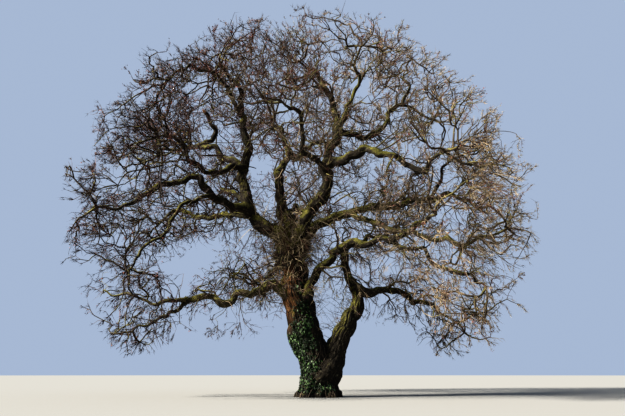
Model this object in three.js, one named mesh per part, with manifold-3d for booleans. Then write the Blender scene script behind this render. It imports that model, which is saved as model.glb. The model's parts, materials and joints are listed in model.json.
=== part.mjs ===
// An open-grown oak in winter: a short trunk that forks low down, wide crooked boughs, a bare crown
// of twigs and ivy on the foot of the trunk. Millimetres, +Z up, the flat cut under the trunk at Z = 0.
// Facing the tree along +Y, its longest low bough reaches out to the left, towards -X.
import * as THREE from "three";
import { mergeVertices } from "three/addons/utils/BufferGeometryUtils.js";
import Module from "manifold-3d";

const wasm = await Module();
wasm.setup();

// Driving sizes
const METRE = 1000;
const JOINT_GAP = 0.3; // between neighbouring pieces
const TRUNK_SIDES = 16;
const STEM_SIDES = 12;
const BOUGH_SIDES = 6;
const BOUGH_STEP = 0.8 * METRE; // length of bough between two rings
const BOUGH_TAPER = 0.8; // 1 tapers evenly, less keeps a bough thick for longer

// The crown: a dome, longer to its sides than from front to back, that droops at its rim
const CROWN = {
  centre: new THREE.Vector3(-0.7, 1.0, 7.7).multiplyScalar(METRE),
  left: 10.3 * METRE,
  right: 10.3 * METRE,
  depth: 8.3 * METRE,
  up: 9.5 * METRE,
  down: 9.0 * METRE,
  fullness: 1.95, // 2 is an ellipse seen from the front, more is squarer
  lowest: 1.6 * METRE,
};

// Twigs, for each mass
const TWIGS = {
  sides: 3,
  count: 21,
  tries: 6000, // places drawn at most
  outer: 4, // the higher, the more of them lie near the crown's skin
  turn: 0.6, // how much longer a way counts that turns off at a right angle
  sharpest: -0.3, // cosine of the sharpest turn
  reach: 3.4 * METRE, // from the middle of the mass
  outset: 1.7 * METRE, // from the bough's tip to the middle of the mass
  stem: 0.3 * METRE,
  tip: 14,
  margin: 60, // to the neighbouring mass's space, on each side
  clear: 95, // to any limb's skin
  crook: 0.13, // sideways bend, as a share of a twig's length
  straight: 1.2 * METRE, // a twig shorter than this has no bend of its own
};

const BARK = new THREE.MeshStandardMaterial({ color: 0x4a4232, roughness: 0.95, metalness: 0 });
const MOSSY_BARK = new THREE.MeshStandardMaterial({ color: 0x5c5f2c, roughness: 0.97, metalness: 0 });
const TWIG_BARK = new THREE.MeshStandardMaterial({ color: 0x6b5a4c, roughness: 0.9, metalness: 0 });
const IVY_GREEN = new THREE.MeshStandardMaterial({ color: 0x35521f, roughness: 0.6, metalness: 0 });

// A repeatable random number from 0 to 1
function seeded(seed) {
  let state = seed >>> 0;
  return () => {
    state = (state + 0x6d2b79f5) >>> 0;
    let mixed = Math.imul(state ^ (state >>> 15), 1 | state);
    mixed = (mixed + Math.imul(mixed ^ (mixed >>> 7), 61 | mixed)) ^ mixed;
    return ((mixed ^ (mixed >>> 14)) >>> 0) / 4294967296;
  };
}

// A place drawn at random in a cube of two by two by two round the origin
const scattered = (random) =>
  new THREE.Vector3(random(), random(), random()).subScalar(0.5).multiplyScalar(2);

function solidOf(geometry) {
  const bare = geometry.clone();
  bare.deleteAttribute("normal");
  bare.deleteAttribute("uv");
  const merged = mergeVertices(bare, 1e-3);
  return new wasm.Manifold(
    new wasm.Mesh({
      numProp: 3,
      vertProperties: new Float32Array(merged.attributes.position.array),
      triVerts: new Uint32Array(merged.index.array),
    }),
  );
}

// The largest body of a solid: what a cut leaves loose is dropped
function largest(solid) {
  const bodies = solid.decompose().sort((a, b) => b.volume() - a.volume());
  return bodies[0];
}

function meshOf(name, solid, material) {
  const made = solid.getMesh();
  const places = new Float32Array(made.numVert * 3);
  for (let i = 0; i < made.numVert; i++)
    places.set(made.vertProperties.subarray(i * made.numProp, i * made.numProp + 3), i * 3);
  const geometry = new THREE.BufferGeometry()
    .setAttribute("position", new THREE.BufferAttribute(places, 3))
    .setIndex(new THREE.BufferAttribute(made.triVerts, 1));
  geometry.computeVertexNormals();
  const mesh = new THREE.Mesh(geometry, material);
  mesh.name = name;
  return mesh;
}

// A cylinder bent along a row of points, with a radius at each. lobe widens it by height and side.
function tube(points, radii, sides, pointed = false, lobe = () => 1) {
  const steps = points.length - 1;
  const shape = new THREE.CylinderGeometry(pointed ? 0 : 1, 1, 1, sides, steps);
  const along = points.map((p, i) =>
    points[Math.min(i + 1, steps)].clone().sub(points[Math.max(i - 1, 0)]).normalize(),
  );
  const side = new THREE.Vector3(0, 0, 1);
  if (Math.abs(along[0].z) > 0.9) side.set(1, 0, 0);
  const across = along.map((tangent) =>
    side.addScaledVector(tangent, -side.dot(tangent)).normalize().clone(),
  );
  const place = shape.attributes.position;
  const spot = new THREE.Vector3();
  for (let i = 0; i < place.count; i++) {
    const ring = Math.round((place.getY(i) + 0.5) * steps);
    const size = Math.hypot(place.getX(i), place.getZ(i));
    const turn = Math.atan2(place.getZ(i), place.getX(i));
    const radius = size > 1e-6 ? radii[ring] * lobe(ring / steps, turn) : 0;
    const deep = across[ring].clone().cross(along[ring]);
    spot.copy(points[ring]);
    spot.addScaledVector(across[ring], Math.cos(turn) * radius);
    spot.addScaledVector(deep, Math.sin(turn) * radius);
    place.setXYZ(i, spot.x, spot.y, spot.z);
  }
  return solidOf(shape);
}

// The same row of points with both ends moved outwards, so that a fatter tube is also longer
function lengthened(points, by) {
  const outwards = (end, inner) => end.clone().add(end.clone().sub(inner).setLength(by));
  return [outwards(points[0], points[1]), ...points.slice(1, -1), outwards(points.at(-1), points.at(-2))];
}

// The limbs. Each springs from an elbow of the limb named in from (0 is that limb's own root) and
// runs through its elbows, in metres. thick is its radius at the root and at the tip, in metres.
const LIMBS = [
  { name: "second_stem", from: "trunk", elbow: 1, thick: [0.5, 0.21], sides: STEM_SIDES,
    run: [[0.35, 0, 1.0], [0.75, -0.1, 1.75], [1.05, -0.15, 2.4], [1.4, -0.2, 3.0], [1.62, -0.2, 3.6],
      [1.62, -0.2, 4.2]] },
  { name: "left_leader", from: "trunk", elbow: 6, thick: [0.3, 0.05],
    run: [[-1.75, 0, 6.6], [-2.5, 0.2, 7.2], [-2.95, 0.3, 7.8], [-3.15, 0.4, 8.6], [-3.2, 0.4, 9.8],
      [-3.15, 0.1, 11.0], [-3.5, -0.3, 12.2], [-3.4, -0.9, 13.1], [-4.0, -1.5, 13.7]] },
  { name: "centre_leader", from: "trunk", elbow: 6, thick: [0.22, 0.05],
    run: [[-1.35, 0.3, 6.9], [-1.5, 0.7, 7.9], [-1.75, 1.1, 9.2], [-1.5, 1.7, 10.9], [-1.7, 2.3, 12.3],
      [-2.2, 3.0, 13.4]] },
  { name: "main_leader", from: "trunk", elbow: 6, thick: [0.29, 0.05],
    run: [[-0.75, -0.2, 6.7], [-0.2, -0.4, 7.6], [0.4, -0.6, 8.4], [0.45, -0.8, 9.6], [1.0, -0.5, 11.2],
      [0.75, -0.2, 12.3], [0.6, 0, 13.3], [0, 0.2, 14.4], [-0.5, 0.3, 15.1]] },
  { name: "low_left_bough", from: "trunk", elbow: 4, thick: [0.19, 0.05],
    run: [[-1.7, -0.3, 4.3], [-2.5, -0.5, 4.1], [-3.2, -0.8, 3.85], [-3.8, -1.0, 3.5], [-4.3, -1.2, 3.7],
      [-5.0, -1.5, 3.75], [-5.6, -1.6, 3.75], [-6.1, -1.7, 3.5], [-6.7, -1.8, 3.7]] },
  { name: "low_left_fork", from: "low_left_bough", elbow: 6, thick: [0.08, 0.04],
    run: [[-5.7, -1.2, 3.15], [-6.4, -1.0, 2.95], [-7.1, -0.8, 2.7]] },
  { name: "left_bough", from: "left_leader", elbow: 3, thick: [0.18, 0.05],
    run: [[-3.6, 0, 8.0], [-4.3, -0.5, 8.15], [-5.1, -1.0, 8.8], [-5.8, -1.2, 8.6], [-6.4, -1.5, 8.25],
      [-7.0, -1.8, 7.8], [-7.7, -2.0, 7.4], [-8.5, -2.1, 7.35]] },
  { name: "left_hanging_bough", from: "left_bough", elbow: 2, thick: [0.09, 0.04],
    run: [[-5.0, -1.2, 7.8], [-5.45, -1.8, 7.2], [-5.6, -2.2, 6.5], [-6.1, -2.6, 5.95], [-6.7, -2.9, 5.6],
      [-6.95, -3.0, 4.8]] },
  { name: "mossy_left_bough", from: "left_leader", elbow: 3, thick: [0.14, 0.045], moss: true,
    run: [[-3.7, 0.8, 7.75], [-4.6, 1.3, 7.9], [-5.6, 1.8, 8.05], [-6.8, 2.4, 8.2], [-7.8, 2.9, 7.9]] },
  { name: "front_left_bough", from: "left_leader", elbow: 5, thick: [0.13, 0.045],
    run: [[-3.9, -0.5, 9.45], [-4.5, -1.3, 9.1], [-5.1, -2.3, 9.1], [-5.5, -3.4, 9.4], [-5.9, -4.1, 9.3]] },
  { name: "upper_left_bough", from: "left_leader", elbow: 5, thick: [0.16, 0.05],
    run: [[-3.8, 0.6, 10.2], [-4.5, 1.0, 10.5], [-5.0, 1.3, 11.1], [-5.8, 1.7, 11.5], [-6.7, 2.0, 11.6],
      [-7.6, 2.3, 11.6], [-8.3, 2.5, 11.1]] },
  { name: "broken_snag", from: "upper_left_bough", elbow: 4, thick: [0.09, 0.06], bare: true,
    run: [[-5.25, 1.55, 11.9], [-4.85, 1.4, 12.2], [-5.2, 1.3, 12.5], [-5.45, 1.2, 12.95]] },
  { name: "left_crown_bough", from: "left_leader", elbow: 7, thick: [0.09, 0.045],
    run: [[-4.1, -0.8, 13.3], [-4.8, -1.4, 14.0], [-5.6, -1.7, 13.7], [-6.2, -2.0, 13.0]] },
  { name: "top_left_bough", from: "left_leader", elbow: 8, thick: [0.07, 0.04],
    run: [[-3.9, 0.1, 13.9], [-4.7, 0.8, 14.4], [-5.1, 1.3, 15.1]] },
  { name: "back_left_bough", from: "left_leader", elbow: 4, thick: [0.14, 0.045],
    run: [[-3.7, 1.7, 9.0], [-4.5, 3.1, 9.5], [-5.0, 4.6, 10.2], [-5.5, 5.9, 10.3]] },
  { name: "back_top_bough", from: "centre_leader", elbow: 4, thick: [0.12, 0.045],
    run: [[-1.0, 3.0, 11.5], [-0.1, 4.0, 12.6], [0.5, 4.9, 13.0]] },
  { name: "back_bough", from: "centre_leader", elbow: 2, thick: [0.14, 0.045],
    run: [[-1.3, 2.3, 8.5], [-0.7, 3.9, 8.9], [-0.9, 5.6, 9.5], [-1.3, 6.9, 9.4]] },
  { name: "back_low_bough", from: "trunk", elbow: 5, thick: [0.15, 0.045],
    run: [[-1.2, 1.2, 5.5], [-1.9, 2.7, 5.9], [-2.5, 4.3, 5.6], [-3.2, 5.7, 5.5]] },
  { name: "front_bough", from: "main_leader", elbow: 3, thick: [0.14, 0.045],
    run: [[0.3, -1.7, 8.9], [-0.4, -2.9, 9.2], [-0.6, -4.2, 9.9], [-1.2, -5.0, 10.1]] },
  { name: "green_leader", from: "main_leader", elbow: 5, thick: [0.1, 0.045], moss: true,
    run: [[1.45, -0.9, 12.2], [1.8, -1.4, 13.0], [1.55, -2.0, 13.5], [1.8, -2.5, 13.9]] },
  { name: "right_arch_bough", from: "main_leader", elbow: 4, thick: [0.18, 0.05],
    run: [[1.3, -1.2, 9.8], [2.2, -1.8, 9.9], [2.8, -2.2, 9.6], [3.4, -2.7, 8.9], [3.9, -3.2, 8.3],
      [4.6, -4.0, 8.5]] },
  { name: "right_upper_bough", from: "main_leader", elbow: 5, thick: [0.13, 0.05],
    run: [[1.7, 0, 11.25], [2.4, 0.3, 11.35], [3.0, 0.5, 11.9], [3.5, 0.8, 12.8], [4.2, 1.1, 13.4],
      [4.8, 1.2, 13.2], [5.5, 1.3, 12.8]] },
  { name: "right_crown_bough", from: "right_upper_bough", elbow: 5, thick: [0.08, 0.04],
    run: [[4.35, 1.0, 14.1], [4.2, 1.2, 14.7], [4.4, 1.4, 15.2]] },
  { name: "right_bough", from: "trunk", elbow: 6, thick: [0.22, 0.05], moss: true,
    run: [[-0.4, 0.5, 6.8], [0.3, 0.8, 7.35], [1.3, 1.0, 7.85], [2.7, 1.3, 8.2], [4.0, 1.6, 8.45],
      [5.3, 1.8, 8.85], [6.4, 2.0, 9.1], [7.2, 2.2, 8.9], [7.9, 2.4, 8.5]] },
  { name: "right_rise_bough", from: "right_bough", elbow: 6, thick: [0.09, 0.04],
    run: [[5.8, 1.7, 9.7], [6.1, 1.4, 10.3], [6.7, 1.1, 10.7]] },
  { name: "light_right_bough", from: "right_bough", elbow: 3, thick: [0.13, 0.045],
    run: [[2.1, 0, 7.3], [3.0, -0.9, 6.75], [3.9, -1.6, 6.3], [4.9, -2.0, 6.0], [5.5, -2.3, 5.6],
      [6.3, -2.6, 5.8], [7.0, -2.7, 6.0]] },
  { name: "front_right_bough", from: "trunk", elbow: 4, thick: [0.2, 0.05],
    run: [[-0.2, -0.4, 4.6], [0.5, -0.8, 5.3], [1.0, -1.0, 5.9], [2.0, -1.6, 5.95], [2.8, -2.1, 6.0],
      [3.5, -3.0, 6.0], [3.9, -4.2, 6.2]] },
  { name: "front_right_low_bough", from: "front_right_bough", elbow: 5, thick: [0.09, 0.04],
    run: [[3.3, -2.3, 5.5], [3.9, -2.6, 5.3], [4.6, -2.9, 4.7], [5.2, -3.1, 4.5], [5.8, -3.2, 4.0]] },
  { name: "low_right_bough", from: "second_stem", elbow: 6, thick: [0.17, 0.045],
    run: [[2.3, 0.1, 4.25], [3.2, 0.4, 4.3], [3.9, 0.7, 3.9], [4.6, 1.0, 3.75], [5.2, 1.2, 3.4],
      [5.9, 1.4, 3.1]] },
  { name: "back_right_bough", from: "second_stem", elbow: 6, thick: [0.17, 0.045],
    run: [[1.25, 0, 4.9], [1.1, 0.4, 5.8], [1.6, 1.8, 6.5], [2.6, 3.5, 7.3], [3.5, 5.0, 7.8]] },
];

// The trunk's elbows start below the cut, so that it meets the ground upright
const TRUNK = {
  run: [[0, 0, -0.4], [0, 0, 0.6], [-0.1, 0, 1.3], [-0.45, 0, 2.2], [-0.75, 0, 3.2], [-0.92, 0, 4.3],
    [-0.98, 0, 5.5], [-1.12, 0, 6.4]],
  // radius at heights up the trunk, in metres: flare, waist, the swelling under the forks, the end
  heights: [-0.4, 0, 0.35, 0.8, 1.4, 2.2, 3.0, 3.8, 4.8, 5.6, 6.1, 6.4],
  radii: [0.9, 0.8, 0.69, 0.64, 0.64, 0.65, 0.62, 0.55, 0.5, 0.48, 0.42, 0.27],
  steps: 18,
  toes: 6, // buttresses round the root flare
  toe: 0.16, // how far they stand out, as a share of the radius
  toe_height: 0.55 * METRE,
};

const inMillimetres = ([x, y, z]) => new THREE.Vector3(x, y, z).multiplyScalar(METRE);

function trunkRadius(height) {
  const { heights, radii } = TRUNK;
  const i = Math.max(1, heights.findIndex((h, n) => n === heights.length - 1 || h * METRE >= height));
  const share = (height / METRE - heights[i - 1]) / (heights[i] - heights[i - 1]);
  return THREE.MathUtils.lerp(radii[i - 1], radii[i], THREE.MathUtils.clamp(share, 0, 1)) * METRE;
}

const trunkCurve = new THREE.CatmullRomCurve3(TRUNK.run.map(inMillimetres), false, "centripetal");
const trunkPoints = trunkCurve.getSpacedPoints(TRUNK.steps);

// The trunk, cut flat at the ground. proud makes it that much fatter, to cut its neighbours clear.
function trunkSolid(proud) {
  const radii = trunkPoints.map((p) => trunkRadius(p.z) + proud);
  const flare = (t, turn) => {
    const height = trunkPoints[Math.round(t * TRUNK.steps)].z;
    const fade = Math.exp(-Math.max(height, 0) / TRUNK.toe_height);
    return 1 + TRUNK.toe * fade * (0.35 + Math.cos(TRUNK.toes * turn + Math.sin(turn * 2)));
  };
  return tube(lengthened(trunkPoints, proud), radii, TRUNK_SIDES, false, flare).trimByPlane([0, 0, 1], 0);
}

// Works out a limb's course and radii from its parent's elbow and its own
function layLimb(limb, parents) {
  const start = parents[limb.from].elbows[limb.elbow];
  limb.elbows = [start, ...limb.run.map(inMillimetres)];
  limb.curve = new THREE.CatmullRomCurve3(limb.elbows, false, "centripetal");
  const steps = Math.max(4, Math.round(limb.curve.getLength() / BOUGH_STEP));
  limb.points = limb.curve.getSpacedPoints(steps);
  const [root, tip] = limb.thick;
  limb.radii = limb.points.map((p, i) => (tip + (root - tip) * (1 - i / steps) ** BOUGH_TAPER) * METRE);
  limb.tip = limb.points[steps];
  limb.heading = limb.points[steps].clone().sub(limb.points[steps - 1]).normalize();
  limb.solid = (proud) => {
    const radii = limb.radii.map((r) => r + proud);
    return tube(lengthened(limb.points, proud), radii, limb.sides ?? BOUGH_SIDES);
  };
}

const trunk = {
  name: "trunk",
  elbows: TRUNK.run.map(inMillimetres),
  points: trunkPoints,
  radii: trunkPoints.map((p) => trunkRadius(p.z)),
  solid: trunkSolid,
};
const limbs = { trunk };
for (const limb of LIMBS) {
  layLimb(limb, limbs);
  limbs[limb.name] = limb;
}

// How far out in the crown a place is: 0 at its centre, 1 on its skin
function crownShare(p) {
  const d = p.clone().sub(CROWN.centre);
  const wide = Math.abs(d.x) / (d.x < 0 ? CROWN.left : CROWN.right);
  const high = Math.abs(d.z) / (d.z < 0 ? CROWN.down : CROWN.up);
  const front = (wide ** CROWN.fullness + high ** CROWN.fullness) ** (2 / CROWN.fullness);
  return Math.sqrt(front + (d.y / CROWN.depth) ** 2);
}

// The middle of each mass: outwards from the tip of the bough that bears it
const masses = LIMBS.filter((limb) => !limb.bare && limb.name !== "second_stem").map((limb, i) => {
  const outward = limb.tip.clone().sub(CROWN.centre).normalize().add(limb.heading).normalize();
  return {
    name: limb.name.replace("_bough", "") + "_twigs",
    bough: limb,
    seed: 41 + i * 7,
    middle: limb.tip.clone().addScaledVector(outward, TWIGS.outset),
  };
});

// Whether a place lies in a mass's own space: nearer to its middle than to any other, in the crown
function inSpace(mass, p) {
  if (p.z < CROWN.lowest || crownShare(p) > 1) return false;
  if (p.distanceTo(mass.middle) > TWIGS.reach) return false;
  return masses.every((other) => {
    if (other === mass) return true;
    const apart = other.middle.clone().sub(mass.middle);
    const halfway = mass.middle.clone().add(other.middle).multiplyScalar(0.5);
    return p.clone().sub(halfway).dot(apart.normalize()) < -TWIGS.margin;
  });
}

// The shortest distance between two straight lines with ends
function lineGap(a, b, c, d) {
  const ab = b.clone().sub(a);
  const cd = d.clone().sub(c);
  const ca = a.clone().sub(c);
  const aa = ab.lengthSq();
  const cc = cd.lengthSq();
  const ac = ab.dot(cd);
  const e = ab.dot(ca);
  const f = cd.dot(ca);
  const spread = aa * cc - ac * ac;
  const clamp = (v) => THREE.MathUtils.clamp(v, 0, 1);
  let s = spread > 1e-9 ? clamp((ac * f - cc * e) / spread) : 0;
  const t = clamp((ac * s + f) / cc);
  s = clamp((ac * t - e) / aa);
  return ca.addScaledVector(ab, s).addScaledVector(cd, -t).length();
}

function clearOfLimbs(a, b) {
  return Object.values(limbs).every((limb) =>
    limb.points.every((p, i) => {
      if (i === 0) return true;
      const thick = Math.max(limb.radii[i - 1], limb.radii[i]);
      return lineGap(a, b, limb.points[i - 1], p) > thick + TWIGS.clear;
    }),
  );
}

// The rule by which twigs branch. Places are drawn at random in the mass's space, more of them
// towards the crown's skin. Taken from near to far, each is reached by a twig from the nearest place
// that the mass has reached before, where a turn back counts as a longer way.
function growTwigs(mass) {
  const random = seeded(mass.seed);
  const { tip, heading } = mass.bough;
  const stem = tip.clone().addScaledVector(heading, TWIGS.stem);
  const nodes = [
    { at: tip.clone().addScaledVector(heading, JOINT_GAP), from: -1, heading },
    { at: stem, from: 0, heading },
  ];
  const goals = [];
  for (let tries = 0; goals.length < TWIGS.count && tries < TWIGS.tries; tries++) {
    const spot = scattered(random).multiplyScalar(TWIGS.reach).add(mass.middle);
    if (inSpace(mass, spot) && random() < crownShare(spot) ** TWIGS.outer) goals.push(spot);
  }
  goals.sort((a, b) => a.distanceTo(stem) - b.distanceTo(stem));
  for (const goal of goals) {
    let from = -1;
    let least = Infinity;
    for (let i = 1; i < nodes.length; i++) {
      const way = goal.clone().sub(nodes[i].at);
      const turn = way.clone().normalize().dot(nodes[i].heading);
      const cost = way.length() * (1 + TWIGS.turn - turn);
      if (cost < least && turn > TWIGS.sharpest) {
        least = cost;
        from = i;
      }
    }
    if (from < 0) continue;
    const start = nodes[from].at;
    const way = goal.clone().sub(start);
    const middle = start.clone().lerp(goal, 0.5);
    middle.addScaledVector(scattered(random), TWIGS.crook * way.length());
    const bends = way.length() > TWIGS.straight;
    const legs = bends ? [middle, goal] : [goal];
    let last = from;
    for (const leg of legs) {
      const a = nodes[last].at;
      if (!inSpace(mass, leg) || !clearOfLimbs(a, leg)) break;
      nodes.push({ at: leg, from: last, heading: leg.clone().sub(a).normalize() });
      last = nodes.length - 1;
    }
  }
  return nodes;
}

// The solid of a mass: from each fork the thickest twig runs on and the others spring from it
function twigSolid(nodes) {
  const area = nodes.map(() => 0);
  for (let i = nodes.length - 1; i > 0; i--) {
    if (area[i] === 0) area[i] = TWIGS.tip ** 2;
    area[nodes[i].from] += area[i];
  }
  const heir = nodes.map(() => -1);
  for (let i = 1; i < nodes.length; i++) {
    const from = nodes[i].from;
    if (heir[from] < 0 || area[i] > area[heir[from]]) heir[from] = i;
  }
  const pieces = [];
  for (let i = 0; i < nodes.length; i++) {
    const first = i === 0;
    if (!first && heir[nodes[i].from] === i) continue;
    const chain = first ? [0] : [nodes[i].from, i];
    while (heir[chain.at(-1)] >= 0) chain.push(heir[chain.at(-1)]);
    const radii = chain.map((n, k) => Math.sqrt(first || k > 0 ? area[n] : area[i]));
    pieces.push(tube(chain.map((n) => nodes[n].at), radii, TWIGS.sides, true));
  }
  return largest(wasm.Manifold.union(pieces));
}

// Ivy: stems that creep up the trunk's left and front, in a close sheet with leaves standing out
const IVY = {
  sheet: 45, // how far the sheet of stems stands out from the bark
  // patches of the sheet, in metres: where each is centred, and how far it spreads
  patches: [[-0.75, -0.35, 0.35, 0.75], [-0.55, -0.6, 1.1, 0.7], [-0.95, -0.5, 1.9, 0.62],
    [-0.95, -0.55, 2.6, 0.5], [-1.1, -0.5, 3.2, 0.4], [0.1, -0.75, 0.5, 0.6], [-0.75, 0.4, 0.7, 0.6]],
  leaves: 70,
  leaf: 150, // length; each stands for a spray of small leaves
  leaf_width: 0.9, // as a share of the length
  leaf_thickness: 0.12,
  leaf_size: [0.7, 1.3], // smallest and largest, as shares of the length
  tilt: 0.4, // how far a leaf may lean from the bark, in radians
  stand: 12, // how far a leaf's middle stands out from the sheet
  seed: 17,
};

// A leaf of eight faces, a flat blade thick enough to be solid
function leafSolid(at, outward, random) {
  const size = (IVY.leaf / 2) * THREE.MathUtils.lerp(...IVY.leaf_size, random());
  const blade = new THREE.SphereGeometry(size, 4, 2);
  blade.scale(IVY.leaf_width, 1, IVY.leaf_thickness);
  const up = new THREE.Vector3(0, 0, 1);
  const facing = new THREE.Quaternion().setFromUnitVectors(up, outward);
  const roll = new THREE.Quaternion().setFromAxisAngle(outward, random() * Math.PI * 2);
  const hinge = up.cross(outward).normalize();
  const lean = new THREE.Quaternion().setFromAxisAngle(hinge, IVY.tilt * (2 * random() - 1));
  blade.applyQuaternion(lean.multiply(roll).multiply(facing));
  return solidOf(blade.translate(at.x, at.y, at.z));
}

// The place on the ivy's sheet outside a spot near the trunk, and the way out from the trunk there
function onSheet(spot) {
  const offset = (p) => Math.abs(p.z - spot.z);
  const axis = trunkPoints.reduce((best, p) => (offset(p) < offset(best) ? p : best));
  const outward = new THREE.Vector3(spot.x - axis.x, spot.y - axis.y, 0).normalize();
  const at = new THREE.Vector3(axis.x, axis.y, spot.z);
  at.addScaledVector(outward, trunkRadius(spot.z) + IVY.sheet + IVY.stand);
  return { at, outward };
}

function ivySolid() {
  const random = seeded(IVY.seed);
  const patches = IVY.patches.map(([x, y, z, spread]) => ({
    middle: inMillimetres([x, y, z]),
    spread: spread * METRE,
  }));
  const rounds = patches.map(({ middle, spread }) =>
    solidOf(new THREE.IcosahedronGeometry(spread, 1).translate(middle.x, middle.y, middle.z)),
  );
  const sheet = trunkSolid(IVY.sheet).intersect(wasm.Manifold.union(rounds));
  const leaves = [];
  while (leaves.length < IVY.leaves) {
    const { middle, spread } = patches[Math.floor(random() * patches.length)];
    const spot = scattered(random);
    const inside = spot.length() < 1;
    spot.multiplyScalar(spread).add(middle);
    if (!inside || spot.z < IVY.leaf) continue;
    const { at, outward } = onSheet(spot);
    leaves.push(leafSolid(at, outward, random));
  }
  return largest(wasm.Manifold.union([sheet, ...leaves]).subtract(trunkSolid(JOINT_GAP)));
}

// The tree: each limb is cut clear of the limbs that were there before it
const oak = new THREE.Group();
oak.name = "oak_tree";
oak.add(meshOf("trunk", trunkSolid(0), BARK));

const boughs = new THREE.Group();
const before = [trunkSolid(JOINT_GAP)];
for (const limb of LIMBS) {
  const cut = largest(wasm.Manifold.difference([limb.solid(0), ...before]));
  boughs.add(meshOf(limb.name, cut, limb.moss ? MOSSY_BARK : BARK));
  before.push(limb.solid(JOINT_GAP));
}
oak.add(boughs);

const crown = new THREE.Group();
for (const mass of masses) crown.add(meshOf(mass.name, twigSolid(growTwigs(mass)), TWIG_BARK));
oak.add(crown);

oak.add(meshOf("ivy", ivySolid(), IVY_GREEN));

export default oak;
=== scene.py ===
import json
import math

import bpy
import numpy as np
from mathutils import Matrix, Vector, kdtree, noise
from mathutils.bvhtree import BVHTree

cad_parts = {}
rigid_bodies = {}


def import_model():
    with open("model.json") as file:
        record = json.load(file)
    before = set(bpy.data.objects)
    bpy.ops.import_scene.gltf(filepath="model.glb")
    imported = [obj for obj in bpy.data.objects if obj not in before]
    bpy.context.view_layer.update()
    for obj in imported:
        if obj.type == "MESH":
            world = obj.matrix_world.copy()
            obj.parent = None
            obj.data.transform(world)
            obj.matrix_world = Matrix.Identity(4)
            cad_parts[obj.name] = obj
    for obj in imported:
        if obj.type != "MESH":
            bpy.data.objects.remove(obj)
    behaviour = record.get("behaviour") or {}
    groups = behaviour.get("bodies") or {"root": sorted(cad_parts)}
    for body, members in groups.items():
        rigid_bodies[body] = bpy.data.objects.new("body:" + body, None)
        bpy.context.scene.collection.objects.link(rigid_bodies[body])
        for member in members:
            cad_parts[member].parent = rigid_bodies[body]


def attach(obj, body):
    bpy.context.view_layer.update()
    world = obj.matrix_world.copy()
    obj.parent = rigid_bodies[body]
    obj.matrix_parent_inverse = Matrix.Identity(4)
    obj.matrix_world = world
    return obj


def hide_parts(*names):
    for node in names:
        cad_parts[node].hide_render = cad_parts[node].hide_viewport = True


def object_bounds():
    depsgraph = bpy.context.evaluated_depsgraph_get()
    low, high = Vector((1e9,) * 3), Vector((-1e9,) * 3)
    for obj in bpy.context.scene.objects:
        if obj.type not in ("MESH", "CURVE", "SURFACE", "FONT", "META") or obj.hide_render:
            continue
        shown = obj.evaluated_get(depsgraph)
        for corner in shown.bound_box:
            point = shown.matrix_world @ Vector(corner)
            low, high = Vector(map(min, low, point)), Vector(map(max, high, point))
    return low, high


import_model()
solid_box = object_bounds()


# Floor, light and camera.
# A pale plain floor under a soft studio light that comes from the upper left, as low winter light
# does. The camera stands low in front of the tree and looks up at its crown.
FLOOR_RADIUS, FLOOR_SIDES = 400.0, 64
FLOOR_COLOUR = (0.215, 0.215, 0.205)
SKY_COLOUR, SKY_STRENGTH = (0.62, 0.74, 0.95), 0.52
KEY_COLOUR, KEY_STRENGTH = (1.0, 0.94, 0.85), 14.5
KEY_WIDTH = math.radians(9)
KEY_HEADING = Vector((0.8, 0.3, -0.5))
PHOTO_WIDTH = 625
FOCAL_PIXELS = 550.0
SENSOR = 36.0
EYE = Vector((-0.21, -23.0, 0.87))
LOOK_UP = math.radians(16.8)


def wired(tree, kind, sockets=(), **settings):
    """A new node with its settings, and with each named socket linked to a socket or set to a value."""
    node = tree.nodes.new(kind)
    for key, value in settings.items():
        setattr(node, key, value)
    for key, value in dict(sockets).items():
        if isinstance(value, bpy.types.NodeSocket):
            tree.links.new(value, node.inputs[key])
        else:
            node.inputs[key].default_value = value
    return node


def new_material(name, colour, roughness, gloss=0.2):
    """A material and its Principled BSDF, in a plain colour until more is wired in."""
    material = bpy.data.materials.new(name)
    material.use_nodes = True
    shader = material.node_tree.nodes["Principled BSDF"]
    shader.inputs["Base Color"].default_value = (*colour, 1)
    shader.inputs["Roughness"].default_value = roughness
    shader.inputs["Specular IOR Level"].default_value = gloss
    return material, shader


scene = bpy.context.scene
scene.view_settings.view_transform = "Standard"
scene.view_settings.look = "High Contrast"

floor_mesh = bpy.data.meshes.new("floor")
floor_ring = [
    (FLOOR_RADIUS * math.cos(t), FLOOR_RADIUS * math.sin(t), 0)
    for t in np.linspace(0, 2 * math.pi, FLOOR_SIDES, endpoint=False)
]
floor_mesh.from_pydata(floor_ring, [], [list(range(FLOOR_SIDES))])
floor = bpy.data.objects.new("floor", floor_mesh)
scene.collection.objects.link(floor)
floor_mesh.materials.append(new_material("pale_floor", FLOOR_COLOUR, 0.95, 0.0)[0])

world = bpy.data.worlds.new("studio")
world.use_nodes = True
sky = world.node_tree.nodes["Background"]
sky.inputs["Color"].default_value = (*SKY_COLOUR, 1)
sky.inputs["Strength"].default_value = SKY_STRENGTH
scene.world = world

key = bpy.data.lights.new("key", "SUN")
key.energy = KEY_STRENGTH
key.angle = KEY_WIDTH
key.color = KEY_COLOUR
key_lamp = bpy.data.objects.new("key", key)
key_lamp.rotation_euler = KEY_HEADING.to_track_quat("-Z", "Y").to_euler()
scene.collection.objects.link(key_lamp)

camera = bpy.data.cameras.new("camera")
camera.sensor_width = SENSOR
camera.lens = SENSOR * FOCAL_PIXELS / PHOTO_WIDTH
camera.clip_end = 2 * FLOOR_RADIUS
eye = bpy.data.objects.new("camera", camera)
eye.location = EYE
eye.rotation_euler = (math.pi / 2 + LOOK_UP, 0, 0)
scene.collection.objects.link(eye)
scene.camera = eye


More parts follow.
